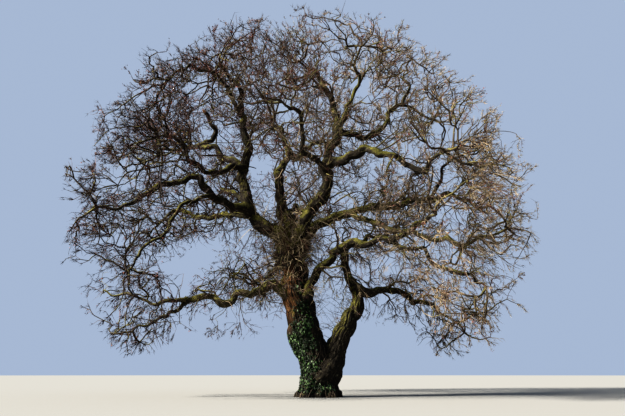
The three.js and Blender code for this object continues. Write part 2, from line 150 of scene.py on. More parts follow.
# The courses of the trunk and the limbs.
# Solid green oak wood: a short trunk that forks near the ground and again at its top, and crooked
# limbs that each spring from an elbow of the limb named second. Elbows and radii are in metres.
TRUNK = [(0, 0, -0.4), (0, 0, 0.6), (-0.1, 0, 1.3), (-0.45, 0, 2.2), (-0.75, 0, 3.2),
         (-0.92, 0, 4.3), (-0.98, 0, 5.5), (-1.12, 0, 6.4)]
TRUNK_HEIGHTS = [-0.4, 0, 0.35, 0.8, 1.4, 2.2, 3.0, 3.8, 4.8, 5.6, 6.1, 6.4]
TRUNK_RADII = [0.9, 0.8, 0.69, 0.64, 0.64, 0.65, 0.62, 0.55, 0.5, 0.48, 0.42, 0.27]
TRUNK_STEPS = 18
LIMB_STEP = 0.8
TAPER = 0.8
CURVE_SAMPLES = 200
# name, limb that bears it, elbow of that limb, radius at the root and the tip, elbows
LIMBS = [
    ("second_stem", "trunk", 1, (0.5, 0.21), [(0.35, 0, 1.0), (0.75, -0.1, 1.75), (1.05, -0.15, 2.4),
        (1.4, -0.2, 3.0), (1.62, -0.2, 3.6), (1.62, -0.2, 4.2)]),
    ("left_leader", "trunk", 6, (0.3, 0.05), [(-1.75, 0, 6.6), (-2.5, 0.2, 7.2), (-2.95, 0.3, 7.8),
        (-3.15, 0.4, 8.6), (-3.2, 0.4, 9.8), (-3.15, 0.1, 11.0), (-3.5, -0.3, 12.2), (-3.4, -0.9, 13.1),
        (-4.0, -1.5, 13.7)]),
    ("centre_leader", "trunk", 6, (0.22, 0.05), [(-1.35, 0.3, 6.9), (-1.5, 0.7, 7.9),
        (-1.75, 1.1, 9.2), (-1.5, 1.7, 10.9), (-1.7, 2.3, 12.3), (-2.2, 3.0, 13.4)]),
    ("main_leader", "trunk", 6, (0.29, 0.05), [(-0.75, -0.2, 6.7), (-0.2, -0.4, 7.6),
        (0.4, -0.6, 8.4), (0.45, -0.8, 9.6), (1.0, -0.5, 11.2), (0.75, -0.2, 12.3), (0.6, 0, 13.3),
        (0, 0.2, 14.4), (-0.5, 0.3, 15.1)]),
    ("low_left_bough", "trunk", 4, (0.19, 0.05), [(-1.7, -0.3, 4.3), (-2.5, -0.5, 4.1),
        (-3.2, -0.8, 3.85), (-3.8, -1.0, 3.5), (-4.3, -1.2, 3.7), (-5.0, -1.5, 3.75),
        (-5.6, -1.6, 3.75), (-6.1, -1.7, 3.5), (-6.7, -1.8, 3.7)]),
    ("low_left_fork", "low_left_bough", 6, (0.08, 0.04), [(-5.7, -1.2, 3.15), (-6.4, -1.0, 2.95),
        (-7.1, -0.8, 2.7)]),
    ("left_bough", "left_leader", 3, (0.18, 0.05), [(-3.6, 0, 8.0), (-4.3, -0.5, 8.15),
        (-5.1, -1.0, 8.8), (-5.8, -1.2, 8.6), (-6.4, -1.5, 8.25), (-7.0, -1.8, 7.8),
        (-7.7, -2.0, 7.4), (-8.5, -2.1, 7.35)]),
    ("left_hanging_bough", "left_bough", 2, (0.09, 0.04), [(-5.0, -1.2, 7.8), (-5.45, -1.8, 7.2),
        (-5.6, -2.2, 6.5), (-6.1, -2.6, 5.95), (-6.7, -2.9, 5.6), (-6.95, -3.0, 4.8)]),
    ("mossy_left_bough", "left_leader", 3, (0.14, 0.045), [(-3.7, 0.8, 7.75), (-4.6, 1.3, 7.9),
        (-5.6, 1.8, 8.05), (-6.8, 2.4, 8.2), (-7.8, 2.9, 7.9)]),
    ("front_left_bough", "left_leader", 5, (0.13, 0.045), [(-3.9, -0.5, 9.45), (-4.5, -1.3, 9.1),
        (-5.1, -2.3, 9.1), (-5.5, -3.4, 9.4), (-5.9, -4.1, 9.3)]),
    ("upper_left_bough", "left_leader", 5, (0.16, 0.05), [(-3.8, 0.6, 10.2), (-4.5, 1.0, 10.5),
        (-5.0, 1.3, 11.1), (-5.8, 1.7, 11.5), (-6.7, 2.0, 11.6), (-7.6, 2.3, 11.6), (-8.3, 2.5, 11.1)]),
    ("broken_snag", "upper_left_bough", 4, (0.09, 0.06), [(-5.25, 1.55, 11.9), (-4.85, 1.4, 12.2),
        (-5.2, 1.3, 12.5), (-5.45, 1.2, 12.95)]),
    ("left_crown_bough", "left_leader", 7, (0.09, 0.045), [(-4.1, -0.8, 13.3), (-4.8, -1.4, 14.0),
        (-5.6, -1.7, 13.7), (-6.2, -2.0, 13.0)]),
    ("top_left_bough", "left_leader", 8, (0.07, 0.04), [(-3.9, 0.1, 13.9), (-4.7, 0.8, 14.4),
        (-5.1, 1.3, 15.1)]),
    ("back_left_bough", "left_leader", 4, (0.14, 0.045), [(-3.7, 1.7, 9.0), (-4.5, 3.1, 9.5),
        (-5.0, 4.6, 10.2), (-5.5, 5.9, 10.3)]),
    ("back_top_bough", "centre_leader", 4, (0.12, 0.045), [(-1.0, 3.0, 11.5), (-0.1, 4.0, 12.6),
        (0.5, 4.9, 13.0)]),
    ("back_bough", "centre_leader", 2, (0.14, 0.045), [(-1.3, 2.3, 8.5), (-0.7, 3.9, 8.9),
        (-0.9, 5.6, 9.5), (-1.3, 6.9, 9.4)]),
    ("back_low_bough", "trunk", 5, (0.15, 0.045), [(-1.2, 1.2, 5.5), (-1.9, 2.7, 5.9),
        (-2.5, 4.3, 5.6), (-3.2, 5.7, 5.5)]),
    ("front_bough", "main_leader", 3, (0.14, 0.045), [(0.3, -1.7, 8.9), (-0.4, -2.9, 9.2),
        (-0.6, -4.2, 9.9), (-1.2, -5.0, 10.1)]),
    ("green_leader", "main_leader", 5, (0.1, 0.045), [(1.45, -0.9, 12.2), (1.8, -1.4, 13.0),
        (1.55, -2.0, 13.5), (1.8, -2.5, 13.9)]),
    ("right_arch_bough", "main_leader", 4, (0.18, 0.05), [(1.3, -1.2, 9.8), (2.2, -1.8, 9.9),
        (2.8, -2.2, 9.6), (3.4, -2.7, 8.9), (3.9, -3.2, 8.3), (4.6, -4.0, 8.5)]),
    ("right_upper_bough", "main_leader", 5, (0.13, 0.05), [(1.7, 0, 11.25), (2.4, 0.3, 11.35),
        (3.0, 0.5, 11.9), (3.5, 0.8, 12.8), (4.2, 1.1, 13.4), (4.8, 1.2, 13.2), (5.5, 1.3, 12.8)]),
    ("right_crown_bough", "right_upper_bough", 5, (0.08, 0.04), [(4.35, 1.0, 14.1),
        (4.2, 1.2, 14.7), (4.4, 1.4, 15.2)]),
    ("right_bough", "trunk", 6, (0.22, 0.05), [(-0.4, 0.5, 6.8), (0.3, 0.8, 7.35), (1.3, 1.0, 7.85),
        (2.7, 1.3, 8.2), (4.0, 1.6, 8.45), (5.3, 1.8, 8.85), (6.4, 2.0, 9.1), (7.2, 2.2, 8.9),
        (7.9, 2.4, 8.5)]),
    ("right_rise_bough", "right_bough", 6, (0.09, 0.04), [(5.8, 1.7, 9.7), (6.1, 1.4, 10.3),
        (6.7, 1.1, 10.7)]),
    ("light_right_bough", "right_bough", 3, (0.13, 0.045), [(2.1, 0, 7.3), (3.0, -0.9, 6.75),
        (3.9, -1.6, 6.3), (4.9, -2.0, 6.0), (5.5, -2.3, 5.6), (6.3, -2.6, 5.8), (7.0, -2.7, 6.0)]),
    ("front_right_bough", "trunk", 4, (0.2, 0.05), [(-0.2, -0.4, 4.6), (0.5, -0.8, 5.3),
        (1.0, -1.0, 5.9), (2.0, -1.6, 5.95), (2.8, -2.1, 6.0), (3.5, -3.0, 6.0), (3.9, -4.2, 6.2)]),
    ("front_right_low_bough", "front_right_bough", 5, (0.09, 0.04), [(3.3, -2.3, 5.5),
        (3.9, -2.6, 5.3), (4.6, -2.9, 4.7), (5.2, -3.1, 4.5), (5.8, -3.2, 4.0)]),
    ("low_right_bough", "second_stem", 6, (0.17, 0.045), [(2.3, 0.1, 4.25), (3.2, 0.4, 4.3),
        (3.9, 0.7, 3.9), (4.6, 1.0, 3.75), (5.2, 1.2, 3.4), (5.9, 1.4, 3.1)]),
    ("back_right_bough", "second_stem", 6, (0.17, 0.045), [(1.25, 0, 4.9), (1.1, 0.4, 5.8),
        (1.6, 1.8, 6.5), (2.6, 3.5, 7.3), (3.5, 5.0, 7.8)]),
]


def run_along(points):
    """How far along its line each point lies."""
    return np.concatenate([[0], np.cumsum(np.linalg.norm(np.diff(points, axis=0), axis=1))])


def course(elbows, steps):
    """A smooth centripetal curve through the elbows, as steps + 1 points an even way apart."""
    p = np.array(elbows, float)
    p = np.vstack([2 * p[0] - p[1], p, 2 * p[-1] - p[-2]])

    def at(share):
        span = np.minimum(share.astype(int), len(elbows) - 2)
        t = (share - span)[:, None]
        a, b, c, d = (p[span + k] for k in range(4))
        ab, bc, cd = (np.sqrt(np.linalg.norm(v - u, axis=1))[:, None] for u, v in ((a, b), (b, c), (c, d)))
        leave = ((b - a) / ab - (c - a) / (ab + bc) + (c - b) / bc) * bc
        arrive = ((c - b) / bc - (d - b) / (bc + cd) + (d - c) / cd) * bc
        return b + leave * t + (3 * (c - b) - 2 * leave - arrive) * t**2 + (
            2 * (b - c) + leave + arrive) * t**3

    share = np.linspace(0, len(elbows) - 1, CURVE_SAMPLES + 1)
    run = run_along(at(share))
    return at(np.interp(np.linspace(0, run[-1], steps + 1), run, share))


def length_of(points):
    return np.linalg.norm(np.diff(points, axis=0), axis=1).sum()


def unit(v):
    return v / np.linalg.norm(v, axis=-1, keepdims=True)


limbs = {"trunk": {"elbows": TRUNK, "points": course(TRUNK, TRUNK_STEPS)}}
limbs["trunk"]["radii"] = np.interp(limbs["trunk"]["points"][:, 2], TRUNK_HEIGHTS, TRUNK_RADII)
limbs["trunk"]["length"] = length_of(limbs["trunk"]["points"])
for name, parent, elbow, (root, tip), own_elbows in LIMBS:
    elbows = [limbs[parent]["elbows"][elbow], *own_elbows]
    length = length_of(course(elbows, CURVE_SAMPLES))
    steps = max(4, round(length / LIMB_STEP))
    points = course(elbows, steps)
    limbs[name] = {
        "elbows": elbows,
        "points": points,
        "radii": tip + (root - tip) * (1 - np.arange(steps + 1) / steps) ** TAPER,
        "length": length,
        "parent": parent,
        "heading": unit(points[-1] - points[-2]),
    }


WANDER_SEED = 373
LONG_WANDER, LONG_SWAY = 1.1, 0.3
SHORT_WANDER, SHORT_SWAY = 0.46, 0.135
STEADY_FOOT, STEADY_FADE = 0.6, 2.5
EASE = 0.45
BOX_LOW, BOX_HIGH = (np.array(corner) for corner in solid_box)
noise.seed_set(WANDER_SEED)


def crooked(points):
    """The places moved by the wander of all the tree's wood, which dies out at the ground and the rim."""
    sway = np.array([noise.noise_vector(Vector(p) / LONG_WANDER) * LONG_SWAY
                     + noise.noise_vector(Vector(p) / SHORT_WANDER) * SHORT_SWAY for p in points])
    room = np.minimum(points - BOX_LOW, BOX_HIGH - points)
    room[:, 2] = BOX_HIGH[2] - points[:, 2]
    risen = np.clip((points[:, 2:] - STEADY_FOOT) / STEADY_FADE, 0, 1)
    return points + sway * risen * np.clip(room.min(1, keepdims=True) / EASE, 0, 1)


# Trunk, second stem, leaders and boughs.
# Wood under thick furrowed bark. Each is a tube along its limb's course with a flared collar where it
# grows out of its bearer, and the furrows, plates and lumps of the bark are in the mesh.
RING_STEP = 0.052
FACE_WIDTH = 0.042
FEWEST_SIDES, MOST_SIDES = 14, 128
COLLAR, COLLAR_SINK, COLLAR_LENGTH = 0.5, 0.8, 1.1
SWELL = {"broken_snag": 1.35, "centre_leader": 1.28, "left_leader": 1.1}
TOES = 6.0
TOE_DEPTH = 0.16
TOE_HEIGHT = 0.55
DEEPEST_FURROW, FURROW_GROWTH, LEAST_FURROW = 0.03, 0.09, 0.002
TRUNK_PLATE, PLATE_GROWTH, LEAST_PLATE = 0.11, 0.25, 0.035
LUMP = 0.5
STEM_BURR, BOUGH_BURR = 0.08, 0.5
STEMS = ("trunk", "second_stem")
SEED_STEP = 7.3


def attribute(tree, name, data_type):
    node = wired(tree, "GeometryNodeInputNamedAttribute", {"Name": name}, data_type=data_type)
    return node.outputs["Attribute"]


def math_node(tree, operation, *values):
    node = tree.nodes.new("ShaderNodeMath")
    node.operation = operation
    for socket, value in zip(node.inputs, values):
        if isinstance(value, bpy.types.NodeSocket):
            tree.links.new(value, socket)
        else:
            socket.default_value = value
    return node.outputs[0]


def vector_node(tree, operation, *values):
    node = tree.nodes.new("ShaderNodeVectorMath")
    node.operation = operation
    for socket, value in zip([s for s in node.inputs if s.enabled], values):
        if isinstance(value, bpy.types.NodeSocket):
            tree.links.new(value, socket)
        else:
            socket.default_value = value
    return node.outputs["Value" if operation in ("LENGTH", "DOT_PRODUCT", "DISTANCE") else "Vector"]


def evenly(tree, value):
    """A vector with the value on all three axes."""
    return wired(tree, "ShaderNodeCombineXYZ", {"X": value, "Y": value, "Z": value}).outputs[0]


def bark_tube_tree():
    """Turns a row of points with a girth into a tube with toes at the ground, lumps and barky relief."""
    tree = bpy.data.node_groups.new("bark_tube", "GeometryNodeTree")
    face = tree.interface
    face.new_socket("Geometry", in_out="INPUT", socket_type="NodeSocketGeometry")
    for name, kind in (("Sides", "Int"), ("Furrow", "Float"), ("Plate", "Float"), ("Lump", "Float"),
                       ("Burr", "Float"), ("Toes", "Float"), ("Toe Depth", "Float"),
                       ("Toe Height", "Float"), ("Seed", "Float"), ("Bark", "Material")):
        face.new_socket(name, in_out="INPUT", socket_type="NodeSocket" + kind)
    face.new_socket("Geometry", in_out="OUTPUT", socket_type="NodeSocketGeometry")
    given = tree.nodes.new("NodeGroupInput").outputs

    ring = wired(tree, "GeometryNodeCurvePrimitiveCircle", {"Resolution": given["Sides"], "Radius": 1.0})
    turn_share = tree.nodes.new("GeometryNodeSplineParameter").outputs["Factor"]
    ring = wired(tree, "GeometryNodeStoreNamedAttribute",
                 {"Geometry": ring.outputs["Curve"], "Name": "turn", "Value": turn_share},
                 data_type="FLOAT", domain="POINT")
    line = wired(tree, "GeometryNodeMeshToCurve", {"Mesh": given["Geometry"]})
    place = tree.nodes.new("GeometryNodeInputPosition").outputs[0]
    line = wired(tree, "GeometryNodeStoreNamedAttribute",
                 {"Geometry": line.outputs["Curve"], "Name": "axis", "Value": place},
                 data_type="FLOAT_VECTOR", domain="POINT")
    tube = wired(tree, "GeometryNodeCurveToMesh",
                 {"Curve": line.outputs["Geometry"], "Profile Curve": ring.outputs["Geometry"],
                  "Scale": attribute(tree, "girth", "FLOAT"), "Fill Caps": True})

    axis = attribute(tree, "axis", "FLOAT_VECTOR")
    along = attribute(tree, "along", "FLOAT")
    girth = attribute(tree, "girth", "FLOAT")
    outward = vector_node(tree, "NORMALIZE", vector_node(tree, "SUBTRACT", place, axis))
    turn = math_node(tree, "MULTIPLY", attribute(tree, "turn", "FLOAT"), 2 * math.pi)
    grain = wired(tree, "ShaderNodeCombineXYZ", {
        "X": math_node(tree, "MULTIPLY", math_node(tree, "COSINE", turn), girth),
        "Y": math_node(tree, "MULTIPLY", math_node(tree, "SINE", turn), girth),
        "Z": math_node(tree, "ADD", along, given["Seed"])}).outputs[0]

    squeezed = vector_node(tree, "MULTIPLY", grain, (1, 1, 0.22))
    wander = wired(tree, "ShaderNodeTexNoise", {"Vector": grain, "Scale": 3.0, "Detail": 2.0})
    shifted = vector_node(tree, "ADD", squeezed,
                          vector_node(tree, "MULTIPLY", wander.outputs["Color"], (0.12, 0.12, 0.06)))
    cells = wired(tree, "ShaderNodeTexVoronoi",
                  {"Vector": vector_node(tree, "DIVIDE", shifted, evenly(tree, given["Plate"])),
                   "Scale": 1.0, "Randomness": 0.9}, feature="DISTANCE_TO_EDGE")
    plates = wired(tree, "ShaderNodeMapRange",
                   {"Value": cells.outputs["Distance"], "From Min": 0.02, "From Max": 0.28,
                    "To Min": -1.0, "To Max": 0.25}, interpolation_type="SMOOTHSTEP")
    rough = wired(tree, "ShaderNodeTexNoise",
                  {"Vector": squeezed, "Scale": 14.0, "Detail": 3.0, "Roughness": 0.6})
    fine = math_node(tree, "SUBTRACT", rough.outputs["Fac"], 0.5)
    relief = math_node(tree, "MULTIPLY", given["Furrow"],
                       math_node(tree, "ADD", plates.outputs["Result"], math_node(
                           tree, "MULTIPLY", fine, 1.6)))
    swell = wired(tree, "ShaderNodeTexNoise",
                  {"Vector": vector_node(tree, "MULTIPLY", grain, (1.0, 1.0, 0.7)), "Scale": 2.3,
                   "Detail": 2.0, "Roughness": 0.55})
    lumps = math_node(tree, "MULTIPLY", math_node(tree, "MULTIPLY", given["Lump"], girth),
                      math_node(tree, "SUBTRACT", swell.outputs["Fac"], 0.5))
    knots = wired(tree, "ShaderNodeTexVoronoi",
                  {"Vector": vector_node(tree, "MULTIPLY", grain, (1.0, 1.0, 0.8)), "Scale": 1.7},
                  feature="SMOOTH_F1")
    burr = wired(tree, "ShaderNodeMapRange",
                 {"Value": knots.outputs["Distance"], "From Min": 0.42, "From Max": 0.1},
                 interpolation_type="SMOOTHSTEP")
    burrs = math_node(tree, "MULTIPLY", math_node(tree, "MULTIPLY", given["Burr"], girth),
                      burr.outputs["Result"])
    height = wired(tree, "ShaderNodeSeparateXYZ", {"Vector": place}).outputs["Z"]
    fade = math_node(tree, "EXPONENT", math_node(
        tree, "MULTIPLY", -1.0, math_node(tree, "DIVIDE", height, given["Toe Height"])))
    angle = math_node(tree, "ADD", math_node(tree, "MULTIPLY", given["Toes"], turn),
                      math_node(tree, "SINE", math_node(tree, "MULTIPLY", 2.0, turn)))
    toes = math_node(tree, "MULTIPLY", math_node(
        tree, "MULTIPLY", math_node(tree, "MULTIPLY", given["Toe Depth"], girth), fade),
        math_node(tree, "ADD", 0.35, math_node(tree, "COSINE", angle)))
    out = math_node(tree, "ADD", math_node(tree, "ADD", relief, lumps),
                    math_node(tree, "ADD", burrs, toes))
    moved = wired(tree, "GeometryNodeSetPosition",
                  {"Geometry": tube.outputs["Mesh"],
                   "Offset": vector_node(tree, "MULTIPLY", outward, evenly(tree, out))})
    above_ground = vector_node(tree, "MAXIMUM", place, (-100.0, -100.0, 0.0))
    level = wired(tree, "GeometryNodeSetPosition",
                  {"Geometry": moved.outputs["Geometry"], "Position": above_ground})
    kept = wired(tree, "GeometryNodeStoreNamedAttribute",
                 {"Geometry": level.outputs["Geometry"], "Name": "grain", "Value": grain},
                 data_type="FLOAT_VECTOR", domain="POINT")
    for name in ("axis", "turn", "girth", "along"):
        kept = wired(tree, "GeometryNodeRemoveAttribute",
                     {"Geometry": kept.outputs["Geometry"], "Name": name})
    smooth = wired(tree, "GeometryNodeSetShadeSmooth", {"Geometry": kept.outputs["Geometry"]})
    real = wired(tree, "GeometryNodeRealizeInstances", {"Geometry": smooth.outputs["Geometry"]})
    dressed = wired(tree, "GeometryNodeSetMaterial",
                    {"Geometry": real.outputs["Geometry"], "Material": given["Bark"]})
    wired(tree, "NodeGroupOutput", {"Geometry": dressed.outputs["Geometry"]})
    return tree


def made_by_nodes(name, host_mesh, tree, values):
    """The plain mesh object that a node tree makes out of host_mesh with those input values."""
    host = bpy.data.objects.new(name, host_mesh)
    scene.collection.objects.link(host)
    modifier = host.modifiers.new("made", "NODES")
    modifier.node_group = tree
    for item in tree.interface.items_tree:
        if item.in_out == "INPUT" and item.name in values:
            modifier[item.identifier] = values[item.name]
    evaluated = host.evaluated_get(bpy.context.evaluated_depsgraph_get())
    mesh = bpy.data.meshes.new_from_object(evaluated)
    mesh.name = name
    host.modifiers.remove(modifier)
    host.data = mesh
    bpy.data.meshes.remove(host_mesh)
    return host


def bark_cover_group():
    """Masks and height of furrowed bark along a limb: furrow, tone, lichen and relief for a bump."""
    group = bpy.data.node_groups.new("bark_cover", "ShaderNodeTree")
    face = group.interface
    face.new_socket("Ridge Width", in_out="INPUT", socket_type="NodeSocketFloat")
    for name in ("Furrow", "Tone", "Lichen", "Height"):
        face.new_socket(name, in_out="OUTPUT", socket_type="NodeSocketFloat")
    given = group.nodes.new("NodeGroupInput").outputs
    grain = wired(group, "ShaderNodeAttribute", attribute_name="grain").outputs["Vector"]
    squeezed = vector_node(group, "MULTIPLY", grain, (1, 1, 0.2))
    wander = wired(group, "ShaderNodeTexNoise", {"Vector": grain, "Scale": 7.0, "Detail": 3.0})
    shifted = vector_node(group, "ADD", squeezed, vector_node(
        group, "MULTIPLY", wander.outputs["Color"], (0.05, 0.05, 0.03)))
    scale = math_node(group, "DIVIDE", 1.0, given["Ridge Width"])
    cells = wired(group, "ShaderNodeTexVoronoi", {"Vector": shifted, "Scale": scale},
                  feature="DISTANCE_TO_EDGE")
    ridge = wired(group, "ShaderNodeMapRange",
                  {"Value": cells.outputs["Distance"], "From Min": 0.0, "From Max": 0.22},
                  interpolation_type="SMOOTHSTEP").outputs["Result"]
    crumbs = wired(group, "ShaderNodeTexNoise",
                   {"Vector": squeezed, "Scale": 55.0, "Detail": 5.0, "Roughness": 0.65}).outputs["Fac"]
    tone = wired(group, "ShaderNodeTexNoise", {"Vector": grain, "Scale": 2.2, "Detail": 4.0}).outputs["Fac"]
    spots = wired(group, "ShaderNodeTexNoise",
                  {"Vector": grain, "Scale": 9.0, "Detail": 4.0, "Roughness": 0.6}).outputs["Fac"]
    lichen = wired(group, "ShaderNodeMapRange", {"Value": spots, "From Min": 0.55, "From Max": 0.68})
    height = math_node(group, "ADD", math_node(group, "MULTIPLY", ridge, 0.7),
                       math_node(group, "MULTIPLY", crumbs, 0.5))
    wired(group, "NodeGroupOutput", {
        "Furrow": math_node(group, "SUBTRACT", 1.0, ridge), "Tone": tone,
        "Lichen": math_node(group, "MULTIPLY", lichen.outputs["Result"], ridge), "Height": height})
    return group


def object_place(tree):
    return tree.nodes.new("ShaderNodeTexCoord").outputs["Object"]


def roughened(tree, shader, height, strength, distance):
    """Lets a height show as fine relief in the shader's normal."""
    bump = wired(tree, "ShaderNodeBump", {"Height": height, "Strength": strength, "Distance": distance})
    tree.links.new(bump.outputs["Normal"], shader.inputs["Normal"])


def moss_cover_group():
    """Where moss and green algae sit: on what faces up and to the left, in ragged patches; the lean to the
    left and front, towards the light, is painted light on the lit side.
    """
    group = bpy.data.node_groups.new("moss_cover", "ShaderNodeTree")
    group.interface.new_socket("Amount", in_out="INPUT", socket_type="NodeSocketFloat")
    group.interface.new_socket("Mask", in_out="OUTPUT", socket_type="NodeSocketFloat")
    given = group.nodes.new("NodeGroupInput").outputs
    normal = group.nodes.new("ShaderNodeNewGeometry").outputs["Normal"]
    # faces that look up hold real moss; the lean towards the light on the left and front paints light on
    # the lit side
    faces_up_and_light = vector_node(group, "DOT_PRODUCT", normal, (-0.35, -0.12, 0.93))
    place = object_place(group)
    ragged = wired(group, "ShaderNodeTexNoise",
                   {"Vector": place, "Scale": 2.6, "Detail": 6.0, "Roughness": 0.7}).outputs["Fac"]
    patches = wired(group, "ShaderNodeTexNoise",
                    {"Vector": place, "Scale": 0.9, "Detail": 2.0}).outputs["Fac"]
    ragged = math_node(group, "ADD", ragged, math_node(
        group, "MULTIPLY", math_node(group, "SUBTRACT", patches, 0.5), 1.1))
    level = math_node(group, "ADD", math_node(group, "MULTIPLY", faces_up_and_light, 0.42), math_node(
        group, "ADD", ragged, given["Amount"]))
    mask = wired(group, "ShaderNodeMapRange", {"Value": level, "From Min": 0.62, "From Max": 0.92},
                 interpolation_type="SMOOTHSTEP")
    wired(group, "NodeGroupOutput", {"Mask": mask.outputs["Result"]})
    return group


def socket_of(sockets, identifier):
    return next(s for s in sockets if s.identifier == identifier)


def mixed(tree, share, a, b):
    """The colour a share of the way from a to b."""
    node = tree.nodes.new("ShaderNodeMix")
    node.data_type = "RGBA"
    for key, value in (("Factor_Float", share), ("A_Color", a), ("B_Color", b)):
        socket = socket_of(node.inputs, key)
        if isinstance(value, bpy.types.NodeSocket):
            tree.links.new(value, socket)
        else:
            socket.default_value = value if key == "Factor_Float" else (*value, 1)
    return socket_of(node.outputs, "Result_Color")


BARK_COVER = bark_cover_group()
MOSS_COVER = moss_cover_group()
# the furrows' dark colour is partly the bark's own darker furrows and partly painted shade in their
# recesses
FURROW_DARK_AND_SHADE = (0.007, 0.006, 0.005)
MOSS_DEEP = (0.04, 0.046, 0.009)
MOSS_BRIGHT = (0.22, 0.2, 0.045)
LICHEN = (0.26, 0.25, 0.17)
LICHEN_SHARE, MOSS_SHARE, FURROW_SHARE = 0.36, 0.9, 0.8
# heights over which the painted sunlight on the stems' left sides comes in
LIT_SIDE_FROM, LIT_SIDE_WHOLE = 2.4, 3.6


def bark_material(name, dark, light, moss, ridge_width=0.03, lit_side=None):
    """Furrowed bark. The side colour, if given, is painted sunlight on patches that face the light on the
    left, up from a stem's foot.
    """
    material, shader = new_material(name, light, 0.92)
    tree = material.node_tree
    cover = wired(tree, "ShaderNodeGroup", {}, node_tree=BARK_COVER)
    cover.inputs["Ridge Width"].default_value = ridge_width
    green = wired(tree, "ShaderNodeGroup", {}, node_tree=MOSS_COVER)
    green.inputs["Amount"].default_value = moss
    colour = mixed(tree, cover.outputs["Tone"], dark, light)
    if lit_side:
        axes = wired(tree, "ShaderNodeSeparateXYZ", {"Vector": object_place(tree)}).outputs
        normal = tree.nodes.new("ShaderNodeNewGeometry").outputs["Normal"]
        left = vector_node(tree, "DOT_PRODUCT", normal, (-0.94, -0.34, 0.0))
        up = wired(tree, "ShaderNodeMapRange",
                   {"Value": axes["Z"], "From Min": LIT_SIDE_FROM, "From Max": LIT_SIDE_WHOLE})
        lit_patch = math_node(tree, "MULTIPLY", up.outputs["Result"], wired(
            tree, "ShaderNodeMapRange", {"Value": left, "From Min": 0.25, "From Max": 0.85}
        ).outputs["Result"])
        share = math_node(tree, "MULTIPLY", lit_patch, math_node(
            tree, "MULTIPLY", cover.outputs["Tone"], 1.5))
        colour = mixed(tree, share, colour, lit_side)
    moss_colour = mixed(tree, cover.outputs["Tone"], MOSS_DEEP, MOSS_BRIGHT)
    for mask, share, over in ((cover.outputs["Lichen"], LICHEN_SHARE, LICHEN),
                              (green.outputs["Mask"], MOSS_SHARE, moss_colour),
                              (cover.outputs["Furrow"], FURROW_SHARE, FURROW_DARK_AND_SHADE)):
        colour = mixed(tree, math_node(tree, "MULTIPLY", mask, share), colour, over)
    tree.links.new(colour, shader.inputs["Base Color"])
    roughened(tree, shader, cover.outputs["Height"], 0.7, 0.012)
    return material


BARK_TUBE = bark_tube_tree()
# the trunk's last colour is warm painted sunlight on its left side; the second stem's is moss lit there,
# real moss in painted sunlight
BARKS = {
    "trunk": bark_material("trunk_bark", (0.006, 0.005, 0.0035), (0.024, 0.0175, 0.011), -0.14, 0.045,
                           (0.22, 0.105, 0.042)),
    "stem": bark_material("stem_bark", (0.009, 0.0075, 0.0055), (0.036, 0.028, 0.017), -0.1, 0.045,
                          (0.2, 0.19, 0.045)),
    "mossy": bark_material("mossy_bark", (0.025, 0.022, 0.01), (0.075, 0.065, 0.03), 0.22),
    "light": bark_material("light_bark", (0.06, 0.048, 0.028), (0.15, 0.12, 0.075), 0.06),
    # painted sunlight: the sunned bark is a lighter copy of the bark for the sunlit low left bough
    "sunned": bark_material("sunned_bark", (0.03, 0.025, 0.013), (0.12, 0.095, 0.05), 0.14),
    "plain": bark_material("bark", (0.009, 0.007, 0.005), (0.04, 0.031, 0.02), 0.05),
}
BARK_OF = {"trunk": "trunk", "second_stem": "stem", "right_bough": "mossy",
           "mossy_left_bough": "mossy", "green_leader": "mossy", "light_right_bough": "light",
           "low_left_bough": "sunned"}


def limb_host(name, points, radii, along):
    """A limb's course as a row of points that carry its girth and the way run along it."""
    mesh = bpy.data.meshes.new(name + "_line")
    mesh.from_pydata([tuple(p) for p in points], [(i, i + 1) for i in range(len(points) - 1)], [])
    for key, values in (("girth", radii), ("along", along)):
        mesh.attributes.new(key, "FLOAT", "POINT").data.foreach_set("value", values.astype(np.float32))
    return mesh


skin = {}
for number, (name, limb) in enumerate(limbs.items()):
    is_trunk = name == "trunk"
    steps = round(limb["length"] / RING_STEP)
    points = course(limb["elbows"], steps)
    if is_trunk:
        points = points[points[:, 2] > RING_STEP / 2]
        points = np.vstack([[0, 0, 0], [0, 0, points[0, 2] / 2], points])
        radii = np.interp(points[:, 2], TRUNK_HEIGHTS, TRUNK_RADII)
        along = run_along(points)
    else:
        along = np.linspace(0, limb["length"], steps + 1)
        radii = np.interp(along, np.linspace(0, limb["length"], len(limb["radii"])), limb["radii"])
        bearer = limbs[limb["parent"]]
        near = np.linalg.norm(bearer["points"] - points[0], axis=1).argmin()
        outside = np.maximum(along - COLLAR_SINK * bearer["radii"][near], 0)
        radii = radii * (1 + COLLAR * np.exp(-outside / (COLLAR_LENGTH * radii[0])))
    radii = radii * SWELL.get(name, 1.0)
    limb["line"], limb["skin_radii"] = points, radii
    sides = max(FEWEST_SIDES, round(2 * math.pi * radii.max() / FACE_WIDTH))
    thick = radii.mean()
    bark = BARK_OF.get(name, "plain")
    piece = made_by_nodes("oak_trunk" if is_trunk else "limb_" + name,
                          limb_host(name, crooked(points), radii, along), BARK_TUBE, {
        "Sides": min(sides, MOST_SIDES),
        "Furrow": DEEPEST_FURROW if is_trunk else min(
            DEEPEST_FURROW, FURROW_GROWTH * thick + LEAST_FURROW),
        "Plate": TRUNK_PLATE if is_trunk else LEAST_PLATE + PLATE_GROWTH * thick,
        "Lump": LUMP,
        "Burr": STEM_BURR if name in STEMS else BOUGH_BURR,
        "Toes": TOES,
        "Toe Depth": TOE_DEPTH if is_trunk else 0.0,
        "Toe Height": TOE_HEIGHT,
        "Seed": SEED_STEP * number,
        "Bark": BARKS[bark],
    })
    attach(piece, "root")
    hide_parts(name)
    skin[name] = piece


